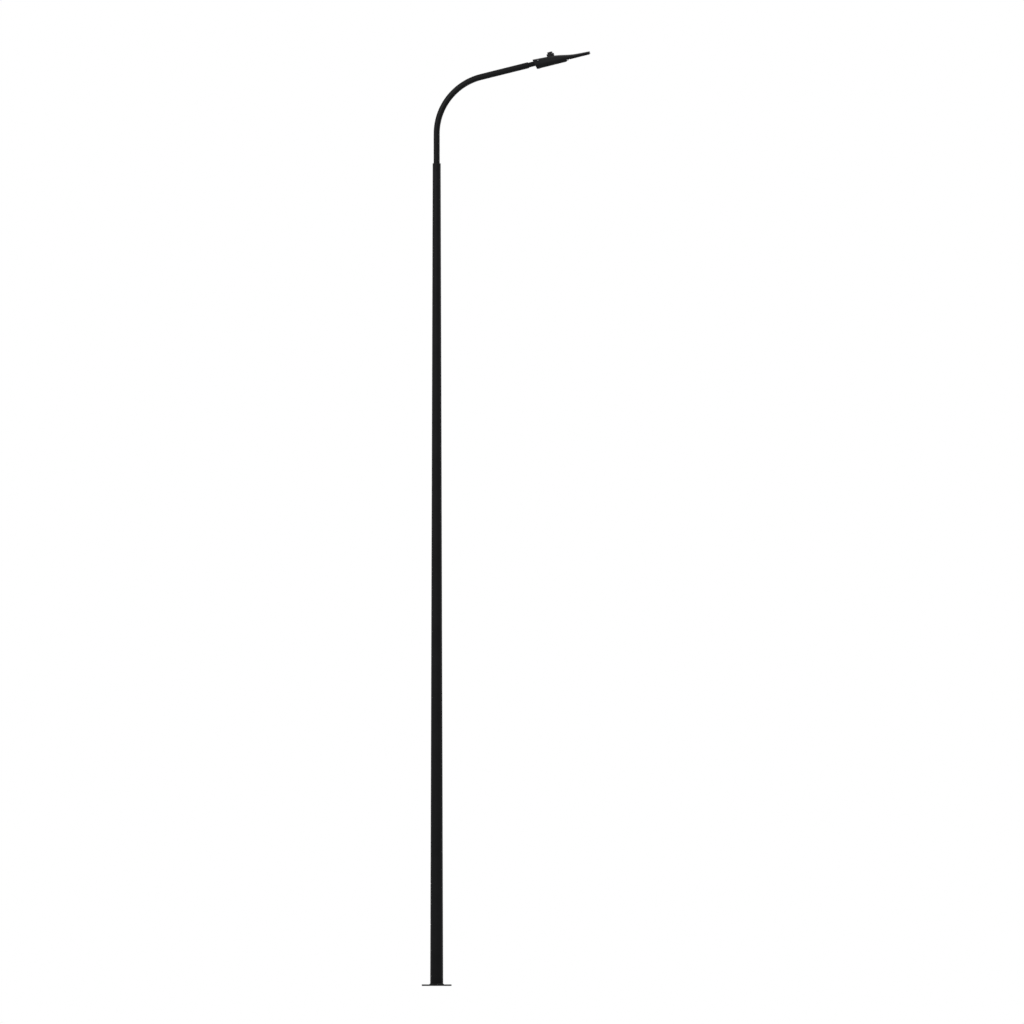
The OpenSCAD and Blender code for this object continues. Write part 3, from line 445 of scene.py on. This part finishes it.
def merged_copy(node):
    bm = bmesh.new()
    bm.from_mesh(frame["nodes"][node].data)
    bmesh.ops.remove_doubles(bm, verts=bm.verts, dist=MERGE_WITHIN)
    return bm


print("piece helpers ready")

# %% [markdown]
# CAD edges are perfectly sharp, and real castings and plates are not. An eased copy joins the flat
# triangles of a merged copy and bevels every hard edge by a fraction of a millimetre. The bevel's
# faces are marked, so the wear knows where the edges are. A weighted normal keeps the flats flat
# beside the small bevels. The sizes in the table are in millimetres.

# %% Eased copies
OWN_FINISH = {"base_plate": plate_paint}
EASES = {
    "base_plate": 1.2, "bracket_collar": 0.8, "bracket_tube": 0.8, "arm_spigot": 0.5,
    "door_cover": 0.4, "door_frame": 0.4, "door_locks": 0.3, "spigot_gland": 0.4,
    "spigot_saddle": 1.0, "spigot_strap": 1.0, "gear_tray": 0.5, "led_driver": 0.8,
    "terminal_block": 0.6, "surge_protector": 1.0, "hinge_lugs": 0.5, "hinge_pins": 0.3,
    "optic_frame": 0.8, "cover_seal": 0.5, "photocell_socket": 0.8,
}


def eased_copy(node, body, ease, hard_above=35.0, flat_below=0.03, segments=2):
    bm = merged_copy(node)
    bmesh.ops.dissolve_limit(bm, angle_limit=math.radians(flat_below), verts=bm.verts,
                             edges=bm.edges)
    marks = bm.faces.layers.float.new("eased_edge")
    hard = [edge for edge in bm.edges
            if edge.is_manifold and edge.calc_face_angle() > math.radians(hard_above)]
    made = bmesh.ops.bevel(bm, geom=hard, offset=ease, offset_type="OFFSET", segments=segments,
                           profile=0.5, affect="EDGES", clamp_overlap=True, material=-1)
    for face in made["faces"]:
        face[marks] = 1.0
    finish = OWN_FINISH.get(node, FINISH[slot_of[node]])
    piece = make_piece(node + "_eased", bm, body, finish, (node,))
    flats = piece.modifiers.new("flat_faces", "WEIGHTED_NORMAL")
    flats.keep_sharp = True
    return piece


for eased_node, ease in EASES.items():
    eased_copy(eased_node, "column", ease * MM)
eased_copy("hinge_arms", "gear_cover", ease=0.5 * MM)
eased_copy("photocell", "photocell", ease=0.3 * MM)

# %% [markdown]
# The shaft is a long cone with a door cut into it. Beside the door its CAD triangles span a wide
# angle, which would look like flat chamfers. So the cone's faces are marked as its skin and cut by
# planes through the axis, and each of their points moves out to the cone's true radius. The cone's
# own normals are then written on the skin, so the light runs evenly over its slender triangles.

# %% The shaft's cone
SHAFT_FOOT_Z, SHAFT_HEAD_Z = 15 * MM, 8015 * MM
SHAFT_FOOT_R, SHAFT_HEAD_R = 63.5 * MM, 39.5 * MM
SHAFT_TAPER = (SHAFT_FOOT_R - SHAFT_HEAD_R) / (SHAFT_HEAD_Z - SHAFT_FOOT_Z)
SKIN_WITHIN = 0.1 * MM


def shaft_radius(z):
    return SHAFT_FOOT_R - SHAFT_TAPER * (z - SHAFT_FOOT_Z)


def on_cone(vert):
    return abs(vert.co.xy.length - shaft_radius(vert.co.z)) < SKIN_WITHIN


def cone_normal(place):
    return Vector((place.x, place.y, SHAFT_TAPER * place.xy.length)).normalized()


def write_cone_normals(mesh):
    normals = [corner.vector.copy() for corner in mesh.corner_normals]
    for face, skin in zip(mesh.polygons, mesh.attributes["skin"].data):
        for corner, index in zip(face.loop_indices, face.vertices):
            if skin.value:
                normals[corner] = cone_normal(mesh.vertices[index].co)
    mesh.normals_split_custom_set(normals)


print("shaft tapers", round(1 / SHAFT_TAPER), "to 1 on the radius")

# %% Column shaft
SECTORS = 60
CUT_WITHIN = 0.001 * MM
UPRIGHT_BELOW = 0.5


def shaft_piece():
    bm = merged_copy("column_shaft")
    skin = bm.faces.layers.int.new("skin")
    for face in bm.faces:
        upright = abs(face.normal.z) < UPRIGHT_BELOW
        face[skin] = upright and all(on_cone(vert) for vert in face.verts)
    for step in range(SECTORS // 2):
        turn = 2 * math.pi * step / SECTORS
        faces = [face for face in bm.faces if face[skin]]
        edges = dict.fromkeys(edge for face in faces for edge in face.edges)
        verts = dict.fromkeys(vert for face in faces for vert in face.verts)
        bmesh.ops.bisect_plane(bm, geom=[*faces, *edges, *verts], dist=CUT_WITHIN,
                               plane_co=(0, 0, 0), plane_no=(-math.sin(turn), math.cos(turn), 0))
    for vert in {vert for face in bm.faces if face[skin] for vert in face.verts}:
        vert.co.xy *= shaft_radius(vert.co.z) / vert.co.xy.length
    piece = make_piece("column_shaft_round", bm, "column", column_paint,
                       ("column_shaft",))
    write_cone_normals(piece.data)
    return piece


shaft_piece()

# %% [markdown]
# The lantern's body and the gear cover are castings with swept skins. Their CAD facets are fine
# enough, so their copies only need smooth shading over the skin and crisp edges at the grooves,
# the bay and the rim.

# %% Lantern body and gear cover
lantern_body = eased_copy("lantern_housing", "column", ease=0.6 * MM, hard_above=38.0, segments=1)
eased_copy("gear_cover", "gear_cover", ease=0.5 * MM, hard_above=50.0, segments=1)

# %% [markdown]
# A soft gasket lies on the cover's rim and closes the joint under the body, so no light shows
# between them. It grows from the rim itself: the rim's faces are kept from a merged copy of the
# cover, set in a little, extruded up to the body and rounded along the top. The bosses of the two
# captive screws are left out of it. It rides on the cover.

# %% Rim gasket
RIM_Z, RIM_WITHIN, LEVEL_ABOVE, CREST_TURN = -45 * MM, 0.2 * MM, 0.9, 1.0
GASKET_H, GASKET_INSET, GASKET_ROUND = 4.7 * MM, 0.4 * MM, 0.7 * MM
CAPTIVE_X, CAPTIVE_Y, CAPTIVE_BOSS_R = 92, 34, 8


def on_rim(face):
    middle = face.calc_center_median()
    from_boss = math.hypot(middle.x - CAPTIVE_X * MM, abs(middle.y) - CAPTIVE_Y * MM)
    level = face.normal.z > LEVEL_ABOVE and abs(middle.z - RIM_Z) < RIM_WITHIN
    return level and from_boss > CAPTIVE_BOSS_R * MM


def gasket_piece():
    bm = merged_copy("gear_cover")
    bmesh.ops.transform(bm, matrix=lantern.inverted(), verts=bm.verts)
    bmesh.ops.delete(bm, geom=[face for face in bm.faces if not on_rim(face)], context="FACES")
    margin = bmesh.ops.inset_region(bm, faces=bm.faces, thickness=GASKET_INSET, use_boundary=True,
                                    use_even_offset=True)["faces"]
    bmesh.ops.delete(bm, geom=margin, context="FACES")
    made = bmesh.ops.extrude_face_region(bm, geom=bm.faces, use_keep_orig=True)["geom"]
    top = [item for item in made if isinstance(item, bmesh.types.BMVert)]
    bmesh.ops.translate(bm, verts=top, vec=(0, 0, GASKET_H))
    bmesh.ops.recalc_face_normals(bm, faces=bm.faces)
    crest = [edge for edge in bm.edges if edge.is_manifold and edge.calc_face_angle() > CREST_TURN
             and min(vert.co.z for vert in edge.verts) > RIM_Z + GASKET_H / 2]
    bmesh.ops.bevel(bm, geom=crest, offset=GASKET_ROUND, offset_type="OFFSET", segments=2,
                    profile=0.5, affect="EDGES", material=-1)
    bmesh.ops.transform(bm, matrix=lantern, verts=bm.verts)
    return make_piece("rim_gasket", bm, "gear_cover", seal_rubber)


gasket_piece()

# %% [markdown]
# A fillet weld is laid in small overlapping pools, so its face carries fine ripples that bow along
# the seam like stacked coins. A short convex profile is spun round the shaft, and each point is
# then moved in or out a little by its angle. A shift by the point's place across the bead bows the
# ripples, and a slow wave keeps them from being even. The same function makes the smaller weld
# between the collar and the bracket.

# %% Weld beads
COLLAR_TOP, BRACKET_R, COLLAR_WELD_LEG = 8023 * MM, 30.15 * MM, 3.5 * MM
FOOT_WELD_GAP, FOOT_RIPPLES, COLLAR_RIPPLES = 0.3 * MM, 130, 90
SPIN_MERGE_WITHIN, STEPS_A_RIPPLE = 0.01 * MM, 6
BOW, RIPPLE, UNEVEN, WAVES, TOE_SHARE = 2.6, 0.03, 0.7, 7, 0.05
BEAD_SHARES = ((0.0, 0.0), (1.0, 0.0), (0.93, 0.12), (0.8, 0.29), (0.64, 0.46), (0.46, 0.64),
               (0.29, 0.8), (0.12, 0.93), (0.0, 1.0))


def spun_ring(profile, axis, steps):
    bm = bmesh.new()
    points = [bm.verts.new(point) for point in profile]
    edges = [bm.edges.new((points[i - 1], points[i])) for i in range(len(points))]
    bmesh.ops.spin(bm, geom=points + edges, cent=(0, 0, 0), axis=axis, angle=2 * math.pi,
                   steps=steps, use_merge=True)
    bmesh.ops.remove_doubles(bm, verts=bm.verts, dist=SPIN_MERGE_WITHIN)
    return bm


def weld_bead(name, inner_r, foot_z, leg, ripples, finish, stands_for=()):
    profile = [(inner_r + leg * out, 0, foot_z + leg * rise) for out, rise in BEAD_SHARES]
    bm = spun_ring(profile, (0, 0, 1), ripples * STEPS_A_RIPPLE)
    for vert in bm.verts:
        turn = math.atan2(vert.co.y, vert.co.x)
        out, rise = vert.co.xy.length - inner_r, vert.co.z - foot_z
        if min(out, rise) > TOE_SHARE * leg:
            shift = BOW * ((rise - out) / leg) ** 2 + UNEVEN * math.sin(WAVES * turn)
            swell = RIPPLE * leg * math.cos(ripples * turn + shift)
            vert.co += swell * Vector((math.cos(turn), math.sin(turn), 1.0))
    bmesh.ops.recalc_face_normals(bm, faces=bm.faces)
    return make_piece(name, bm, "column", finish, stands_for, smooth_below=60.0)


weld_low, weld_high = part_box("foot_weld")
weld_bead("foot_weld_bead", SHAFT_FOOT_R + FOOT_WELD_GAP, weld_low.z, weld_high.z - weld_low.z,
          FOOT_RIPPLES, plate_paint, ("foot_weld",))
weld_bead("collar_weld_bead", BRACKET_R, COLLAR_TOP, COLLAR_WELD_LEG, COLLAR_RIPPLES,
          column_paint)

# %% [markdown]
# Between the bracket and the lantern, the neck looks a little thicker than a bare 42 mm spigot: a
# rubber sleeve covers the spigot and pushes into the lantern's rear opening, up to the gland. Its
# profile is rounded at the bracket's end and chamfered at the gland, and is spun about the arm's
# axis.

# %% Spigot sleeve
SLEEVE_FROM, SLEEVE_TO = 0.4 * MM, 68.6 * MM
SLEEVE_BORE_R, SLEEVE_R = 21.4 * MM, 24.2 * MM
SLEEVE_ROUND, SLEEVE_STEPS = 1.2 * MM, 72


def sleeve_piece():
    near, far, out, eased = SLEEVE_FROM, SLEEVE_TO, SLEEVE_R, SLEEVE_ROUND
    halfway = 0.3 * eased
    outline = ((near, SLEEVE_BORE_R), (near, out - eased), (near + halfway, out - halfway),
               (near + eased, out), (far - eased, out), (far, out - eased), (far, SLEEVE_BORE_R))
    bm = spun_ring([(x, 0, r) for x, r in outline], (1, 0, 0), SLEEVE_STEPS)
    bmesh.ops.recalc_face_normals(bm, faces=bm.faces)
    bmesh.ops.transform(bm, matrix=lantern, verts=bm.verts)
    return make_piece("spigot_sleeve", bm, "column", seal_rubber)


sleeve_piece()

# %% [markdown]
# Screws come in several sizes but share one build: a ring extruded up into a head with a soft
# shoulder, bridged to a six-sided ring, which is pushed down to make the key's socket. A washer
# and a shank are added where they show. Three helpers do the work on rings: one finds the edges
# between a ring's points, one extrudes them and scales the new ring, and one starts a shape with a
# closed disc.

# %% Ring helpers
def ring_edges(verts):
    inside = set(verts)
    return list(dict.fromkeys(edge for vert in verts for edge in vert.link_edges
                              if edge.other_vert(vert) in inside))


def raise_ring(bm, edges, height, scale=1.0):
    made = bmesh.ops.extrude_edge_only(bm, edges=edges)["geom"]
    verts = [item for item in made if isinstance(item, bmesh.types.BMVert)]
    for vert in verts:
        vert.co = Vector((vert.co.x * scale, vert.co.y * scale, vert.co.z + height))
    return verts


def disc(bm, radius, height, segments):
    verts = bmesh.ops.create_circle(bm, cap_ends=True, radius=radius, segments=segments)["verts"]
    bmesh.ops.translate(bm, verts=verts, vec=(0, 0, height))
    return verts


print("ring helpers ready")

# %% One screw
CROWN_SHARES = ((0.22, 0.93), (0.08, 0.88))
CROWN_RISE_SHARE = sum(rise for rise, _ in CROWN_SHARES)
KEY_DEPTH_SHARE = 0.6
TIP_R_SHARE, TIP_RISE_SHARE, SHANK_SIDES = 0.8, 0.4, 16
BROW_R_SHARE, BROW_RISE_SHARE, WASHER_SIDES = 0.96, 0.2, 28


def add_shank(bm, radius, length):
    tip = disc(bm, radius * TIP_R_SHARE, -length, SHANK_SIDES)
    point = raise_ring(bm, ring_edges(tip), radius * TIP_RISE_SHARE, 1 / TIP_R_SHARE)
    end = raise_ring(bm, ring_edges(point), length - radius * TIP_RISE_SHARE)
    bmesh.ops.contextual_create(bm, geom=ring_edges(end))


def add_washer(bm, radius, thickness, sunk):
    rim = disc(bm, radius, -sunk, WASHER_SIDES)
    lip = raise_ring(bm, ring_edges(rim), sunk + thickness * (1 - BROW_RISE_SHARE))
    brow = raise_ring(bm, ring_edges(lip), thickness * BROW_RISE_SHARE, BROW_R_SHARE)
    bmesh.ops.contextual_create(bm, geom=ring_edges(brow))


def add_head(bm, radius, low, top, height, key_r, sides):
    ring = disc(bm, radius, low, sides)
    ring = raise_ring(bm, ring_edges(ring), top - low - height * CROWN_RISE_SHARE)
    for rise, narrowing in CROWN_SHARES:
        ring = raise_ring(bm, ring_edges(ring), height * rise, narrowing)
    key = bmesh.ops.create_circle(bm, cap_ends=False, radius=key_r, segments=6)["verts"]
    bmesh.ops.translate(bm, verts=key, vec=(0, 0, top))
    key_edges = ring_edges(key)
    bmesh.ops.bridge_loops(bm, edges=ring_edges(ring) + key_edges)
    pit = raise_ring(bm, key_edges, -height * KEY_DEPTH_SHARE)
    bmesh.ops.contextual_create(bm, geom=ring_edges(pit))


def add_screw(bm, place, radius, height, key_r, sides=20, sunk=0.5 * MM, washer=None, shank=None):
    before = set(bm.verts)
    if shank:
        add_shank(bm, *shank)
    if washer:
        add_washer(bm, *washer, sunk)
    seat = washer[1] if washer else 0.0
    low = seat if washer else -sunk
    add_head(bm, radius, low, seat + height, height, key_r, sides)
    made = [vert for vert in bm.verts if vert not in before]
    bmesh.ops.transform(bm, matrix=place, verts=made)


print("screw builder ready")

# %% [markdown]
# A place matrix puts each screw on its seat with its Z axis outwards, and every set of screws is
# one piece. Seats on the lantern are given in millimetres in its own frame.

# %% Sets of screws
DOWN, UPWARD = (0, 0, -1), (0, 0, 1)


def screw_set(name, places, body, finish=stainless, slot="stainless", **sizes):
    bm = bmesh.new()
    for place in places:
        add_screw(bm, place, **sizes)
    bmesh.ops.recalc_face_normals(bm, faces=bm.faces)
    return make_piece(name, bm, body, finish, smooth_below=30.0)


def facing(point, outward):
    turn = Vector(outward).to_track_quat("Z", "Y").to_matrix().to_4x4()
    return Matrix.Translation(point) @ turn


def on_lantern(x, y, z, outward):
    return lantern @ facing((x * MM, y * MM, z * MM), outward)


print("screw places face", DOWN, "or", UPWARD, "on the lantern")

# %% [markdown]
# The bracket's foot is held in the shaft by two rows of three socket set screws. They sit almost
# flush, so the photograph's outline stays clean, and they are painted over with the column.

# %% Set screws at the shaft's head
SET_SCREW_DROPS, SET_SCREW_TURNS = (60 * MM, 220 * MM), (30, 150, 270)
set_screw_places = []
for drop in SET_SCREW_DROPS:
    for turn in SET_SCREW_TURNS:
        way = Vector((math.cos(math.radians(turn)), math.sin(math.radians(turn)), 0))
        height = SHAFT_HEAD_Z - drop
        set_screw_places.append(facing(way * shaft_radius(height) + Vector((0, 0, height)), way))
screw_set("bracket_set_screws", set_screw_places, "column", column_paint, "column_paint",
          radius=7 * MM, height=2 * MM, key_r=3.5 * MM, sunk=1.5 * MM)

# %% [markdown]
# A small bright spot shows on the lantern's flank near its rear: a stainless screw that holds the
# clamp bay's side. Its seat is found by casting a ray at the body from the side, so it lies square
# on the curved flank. The far flank gets the same screw.

# %% Flank screws
FLANK_X, FLANK_Z, CAST_FROM = 99, 23.5, 300
shell = bmesh.new()
shell.from_mesh(lantern_body.data)
shell_tree = BVHTree.FromBMesh(shell)
flank_places = []
for side in (-1, 1):
    start = lantern @ (Vector((FLANK_X, side * CAST_FROM, FLANK_Z)) * MM)
    seat, normal, _, _ = shell_tree.ray_cast(start, Vector((0, -side, 0)))
    flank_places.append(facing(seat, normal))
    print("flank screw seat", [round(v, 4) for v in lantern.inverted() @ seat])
shell.free()
screw_set("flank_screws", flank_places, "column", radius=4.5 * MM, height=2.5 * MM, key_r=2.1 * MM,
          sunk=2 * MM)

# %% [markdown]
# Under the lantern, the optic frame is held by eight small screws round its rim, the spigot clamp
# by four bolts on washers, whose shanks show in the clamp's split, the gear tray by three screws
# and the driver by one at each foot.

# %% Screws under the lantern
OPTIC_MID, FRAME_FACE, FRAME_SEATS = 504, -43, ((88, 48), (42, 97))
EAR_FACE, CLAMP_X, CLAMP_Y = -16, (112, 134), 32.6
TRAY_FACE, TRAY_SEATS = -2, ((197, -12), (299, -12), (250, -70))
FOOT_FACE, FOOT_X, FOOT_Y = -5, (185.5, 310.5), 41
frame_places = [on_lantern(OPTIC_MID + sx * x, sy * y, FRAME_FACE, DOWN)
                for x, y in FRAME_SEATS for sx in (-1, 1) for sy in (-1, 1)]
screw_set("optic_frame_screws", frame_places, "column", radius=3.6 * MM, height=2 * MM,
          key_r=1.6 * MM)
clamp_places = [on_lantern(x, side * CLAMP_Y, EAR_FACE, DOWN) for x in CLAMP_X for side in (-1, 1)]
screw_set("clamp_bolts", clamp_places, "column", radius=5.5 * MM, height=5 * MM, key_r=2.8 * MM,
          washer=(7 * MM, 1.4 * MM), shank=(4 * MM, 38 * MM))
tray_places = [on_lantern(x, y, TRAY_FACE, DOWN) for x, y in TRAY_SEATS]
screw_set("gear_tray_screws", tray_places, "column", radius=3.6 * MM, height=2.4 * MM,
          key_r=1.6 * MM)
driver_places = [on_lantern(x, FOOT_Y, FOOT_FACE, DOWN) for x in FOOT_X]
screw_set("driver_screws", driver_places, "column", radius=3 * MM, height=2 * MM, key_r=1.4 * MM,
          sides=16)

# %% [markdown]
# Each pole of the terminal block has a brass screw at the bottom of its well.

# %% Terminal screws
WELL_FACE, WELL_Y, WELL_START, WELL_PITCH, POLES = -13, -51, 193.8, 11.6, 5
well_places = [on_lantern(WELL_START + k * WELL_PITCH, WELL_Y, WELL_FACE, DOWN)
               for k in range(POLES)]
screw_set("terminal_screws", well_places, "column", brass, "terminal_plastic", radius=2.6 * MM,
          height=1.6 * MM, key_r=1.1 * MM, sides=16)

# %% [markdown]
# The hinge pins are riveted over at both ends, so each gets a small domed head, coated over with
# the lantern.

# %% Pin heads
HINGE_X, HINGE_Y, HINGE_Z, PIN_HALF = 387.702, 65, -45, 13.5
head_places = [on_lantern(HINGE_X, centre + side * PIN_HALF, HINGE_Z, (0, side, 0))
               for centre in (-HINGE_Y, HINGE_Y) for side in (-1, 1)]
screw_set("hinge_pin_heads", head_places, "column", lantern_coat, "lantern_paint",
          radius=3.2 * MM, height=1.4 * MM, key_r=0.9 * MM, sides=16)

# %% [markdown]
# The gear cover is held shut by two captive screws near its rear edge, which run through the
# cover's bosses into the body's lugs. They ride on the cover, so they swing away with it.

# %% Captive cover screws
COVER_FACE = -57.5
captive_places = [on_lantern(CAPTIVE_X, side * CAPTIVE_Y, COVER_FACE, DOWN) for side in (-1, 1)]
screw_set("cover_captive_screws", captive_places, "gear_cover", radius=6 * MM, height=3 * MM,
          key_r=3 * MM, washer=(8 * MM, 1 * MM), shank=(2.8 * MM, 26 * MM))

# %% [markdown]
# Behind every lens sits a small lamp chip, a square package covered by yellow phosphor. Each is a
# cube that a matrix flattens and places in the lens array's grid, with bevelled edges.

# %% Lamp chips
LENS_PITCH_X, LENS_PITCH_Y, LENS_ROWS, LENS_COLUMNS = 27, 29, 5, 6
BOARD_FACE = -29
CHIP_SIDE, CHIP_H, CHIP_ROUND = 3.6 * MM, 0.9 * MM, 0.2 * MM


def add_block(bm, place, size, rounding, segments):
    stretched = place @ Matrix.Diagonal((*size, 1.0))
    made = bmesh.ops.create_cube(bm, size=1.0, matrix=stretched)["verts"]
    bmesh.ops.bevel(bm, geom=ring_edges(made), offset=rounding, offset_type="OFFSET",
                    segments=segments, profile=0.5, affect="EDGES", material=-1)


def chips_piece():
    bm = bmesh.new()
    for i in range(LENS_ROWS):
        for j in range(LENS_COLUMNS):
            x = OPTIC_MID + (i - (LENS_ROWS - 1) / 2) * LENS_PITCH_X
            y = (j - (LENS_COLUMNS - 1) / 2) * LENS_PITCH_Y
            place = on_lantern(x, y, BOARD_FACE, DOWN) @ Matrix.Translation((0, 0, CHIP_H / 2))
            add_block(bm, place, (CHIP_SIDE, CHIP_SIDE, CHIP_H), CHIP_ROUND, segments=1)
    return make_piece("lamp_chips", bm, "column", phosphor)


chips_piece()

# %% [markdown]
# The photocell's turned and fluted shape comes from the CAD. What it lacks is the small window of
# the daylight sensor, a smooth patch set into the rear of the skirt. It is a block with round
# edges, as the chips are, and it turns with the cell.

# %% Photocell window
WINDOW_OUT, WINDOW_UP = 24.8 * MM, 7 * MM
WINDOW_SIZE, WINDOW_ROUND = (1.6 * MM, 9 * MM, 7 * MM), 0.6 * MM


def window_piece():
    bm = bmesh.new()
    place = Matrix.Translation((CELL_ALONG - WINDOW_OUT, 0, CELL_UP + WINDOW_UP))
    add_block(bm, lantern @ place, WINDOW_SIZE, WINDOW_ROUND, segments=3)
    return make_piece("photocell_window", bm, "photocell", cell_window)


window_piece()

# %% [markdown]
# The photocell's socket is fixed to the roof by three small screws in the ring that the cell
# leaves bare.

# %% Socket screws
SOCKET_TOP, SOCKET_SCREW_R = 58, 30
SOCKET_TURNS = (math.pi / 3, math.pi, math.pi * 5 / 3)
socket_places = [on_lantern(CELL_ALONG / MM + SOCKET_SCREW_R * math.cos(turn),
                            SOCKET_SCREW_R * math.sin(turn), SOCKET_TOP, UPWARD)
                 for turn in SOCKET_TURNS]
screw_set("socket_screws", socket_places, "column", radius=2.8 * MM, height=1.4 * MM,
          key_r=1.3 * MM, sides=16)

# %% [markdown]
# The floor is plain and pale, with a tone that varies a little so that it doesn't look drawn. One
# large square is enough for it; it isn't part of the object.

# %% Floor
FLOOR_SIZE = 60.0


def floor_piece():
    bm = bmesh.new()
    bmesh.ops.create_grid(bm, x_segments=1, y_segments=1, size=FLOOR_SIZE / 2)
    mesh = bpy.data.meshes.new("floor")
    bm.to_mesh(mesh)
    bm.free()
    floor = bpy.data.objects.new("floor", mesh)
    bpy.context.scene.collection.objects.link(floor)
    material, tree, shader = new_finish("pale_floor", roughness=0.8, specular=0.2)
    place = add_node(tree, "TexCoord").outputs["Object"]
    tone = add_node(tree, "TexNoise", Vector=place, Scale=0.6, Detail=3.0)
    feed(tree, shader.inputs["Base Color"],
         mix_colour(tree, tone.outputs["Fac"], (0.80, 0.80, 0.80), (0.83, 0.83, 0.83)))
    mesh.materials.append(material)


floor_piece()
print("floor", FLOOR_SIZE, "m wide")

# %% [markdown]
# The light is soft: an even grey sky with two large softboxes. The sky is white to the camera, in
# reflections and through glass, but lights the object at a lower level, so its colours come out
# about as they are written.

# %% Sky and softboxes
SKY_LEVEL = 0.55
LAMP_SIZE, LAMP_AIM = 7.0, Vector((0.4, 0.0, 5.0))


def soft_sky(level):
    world = bpy.data.worlds.new("soft_sky")
    bpy.context.scene.world = world
    world.use_nodes = True
    tree = world.node_tree
    tree.nodes.clear()
    path = add_node(tree, "LightPath")
    seen = maths(tree, "MAXIMUM", path.outputs["Is Camera Ray"], path.outputs["Is Glossy Ray"])
    seen = maths(tree, "MAXIMUM", seen, path.outputs["Is Transmission Ray"])
    light = add_node(tree, "Background", Color=(0.97, 0.98, 1.0), Strength=level)
    white = add_node(tree, "Background", Color=(1.0, 1.0, 1.0), Strength=1.0)
    both = add_node(tree, "MixShader")
    feed(tree, both.inputs[0], seen)
    tree.links.new(light.outputs[0], both.inputs[1])
    tree.links.new(white.outputs[0], both.inputs[2])
    out = add_node(tree, "OutputWorld")
    tree.links.new(both.outputs[0], out.inputs["Surface"])


def softbox(name, place, power):
    data = bpy.data.lights.new(name, "AREA")
    data.shape = "SQUARE"
    data.size = LAMP_SIZE
    data.energy = power
    lamp = bpy.data.objects.new(name, data)
    bpy.context.scene.collection.objects.link(lamp)
    lamp.location = place
    lamp.rotation_euler = (LAMP_AIM - Vector(place)).to_track_quat("-Z", "Y").to_euler()
    print(name, "gives", power, "W")


soft_sky(SKY_LEVEL)
softbox("key_softbox", place=(-7.0, -10.0, 13.0), power=1400.0)
softbox("fill_softbox", place=(9.0, 6.0, 12.0), power=700.0)
print("sky level", SKY_LEVEL)
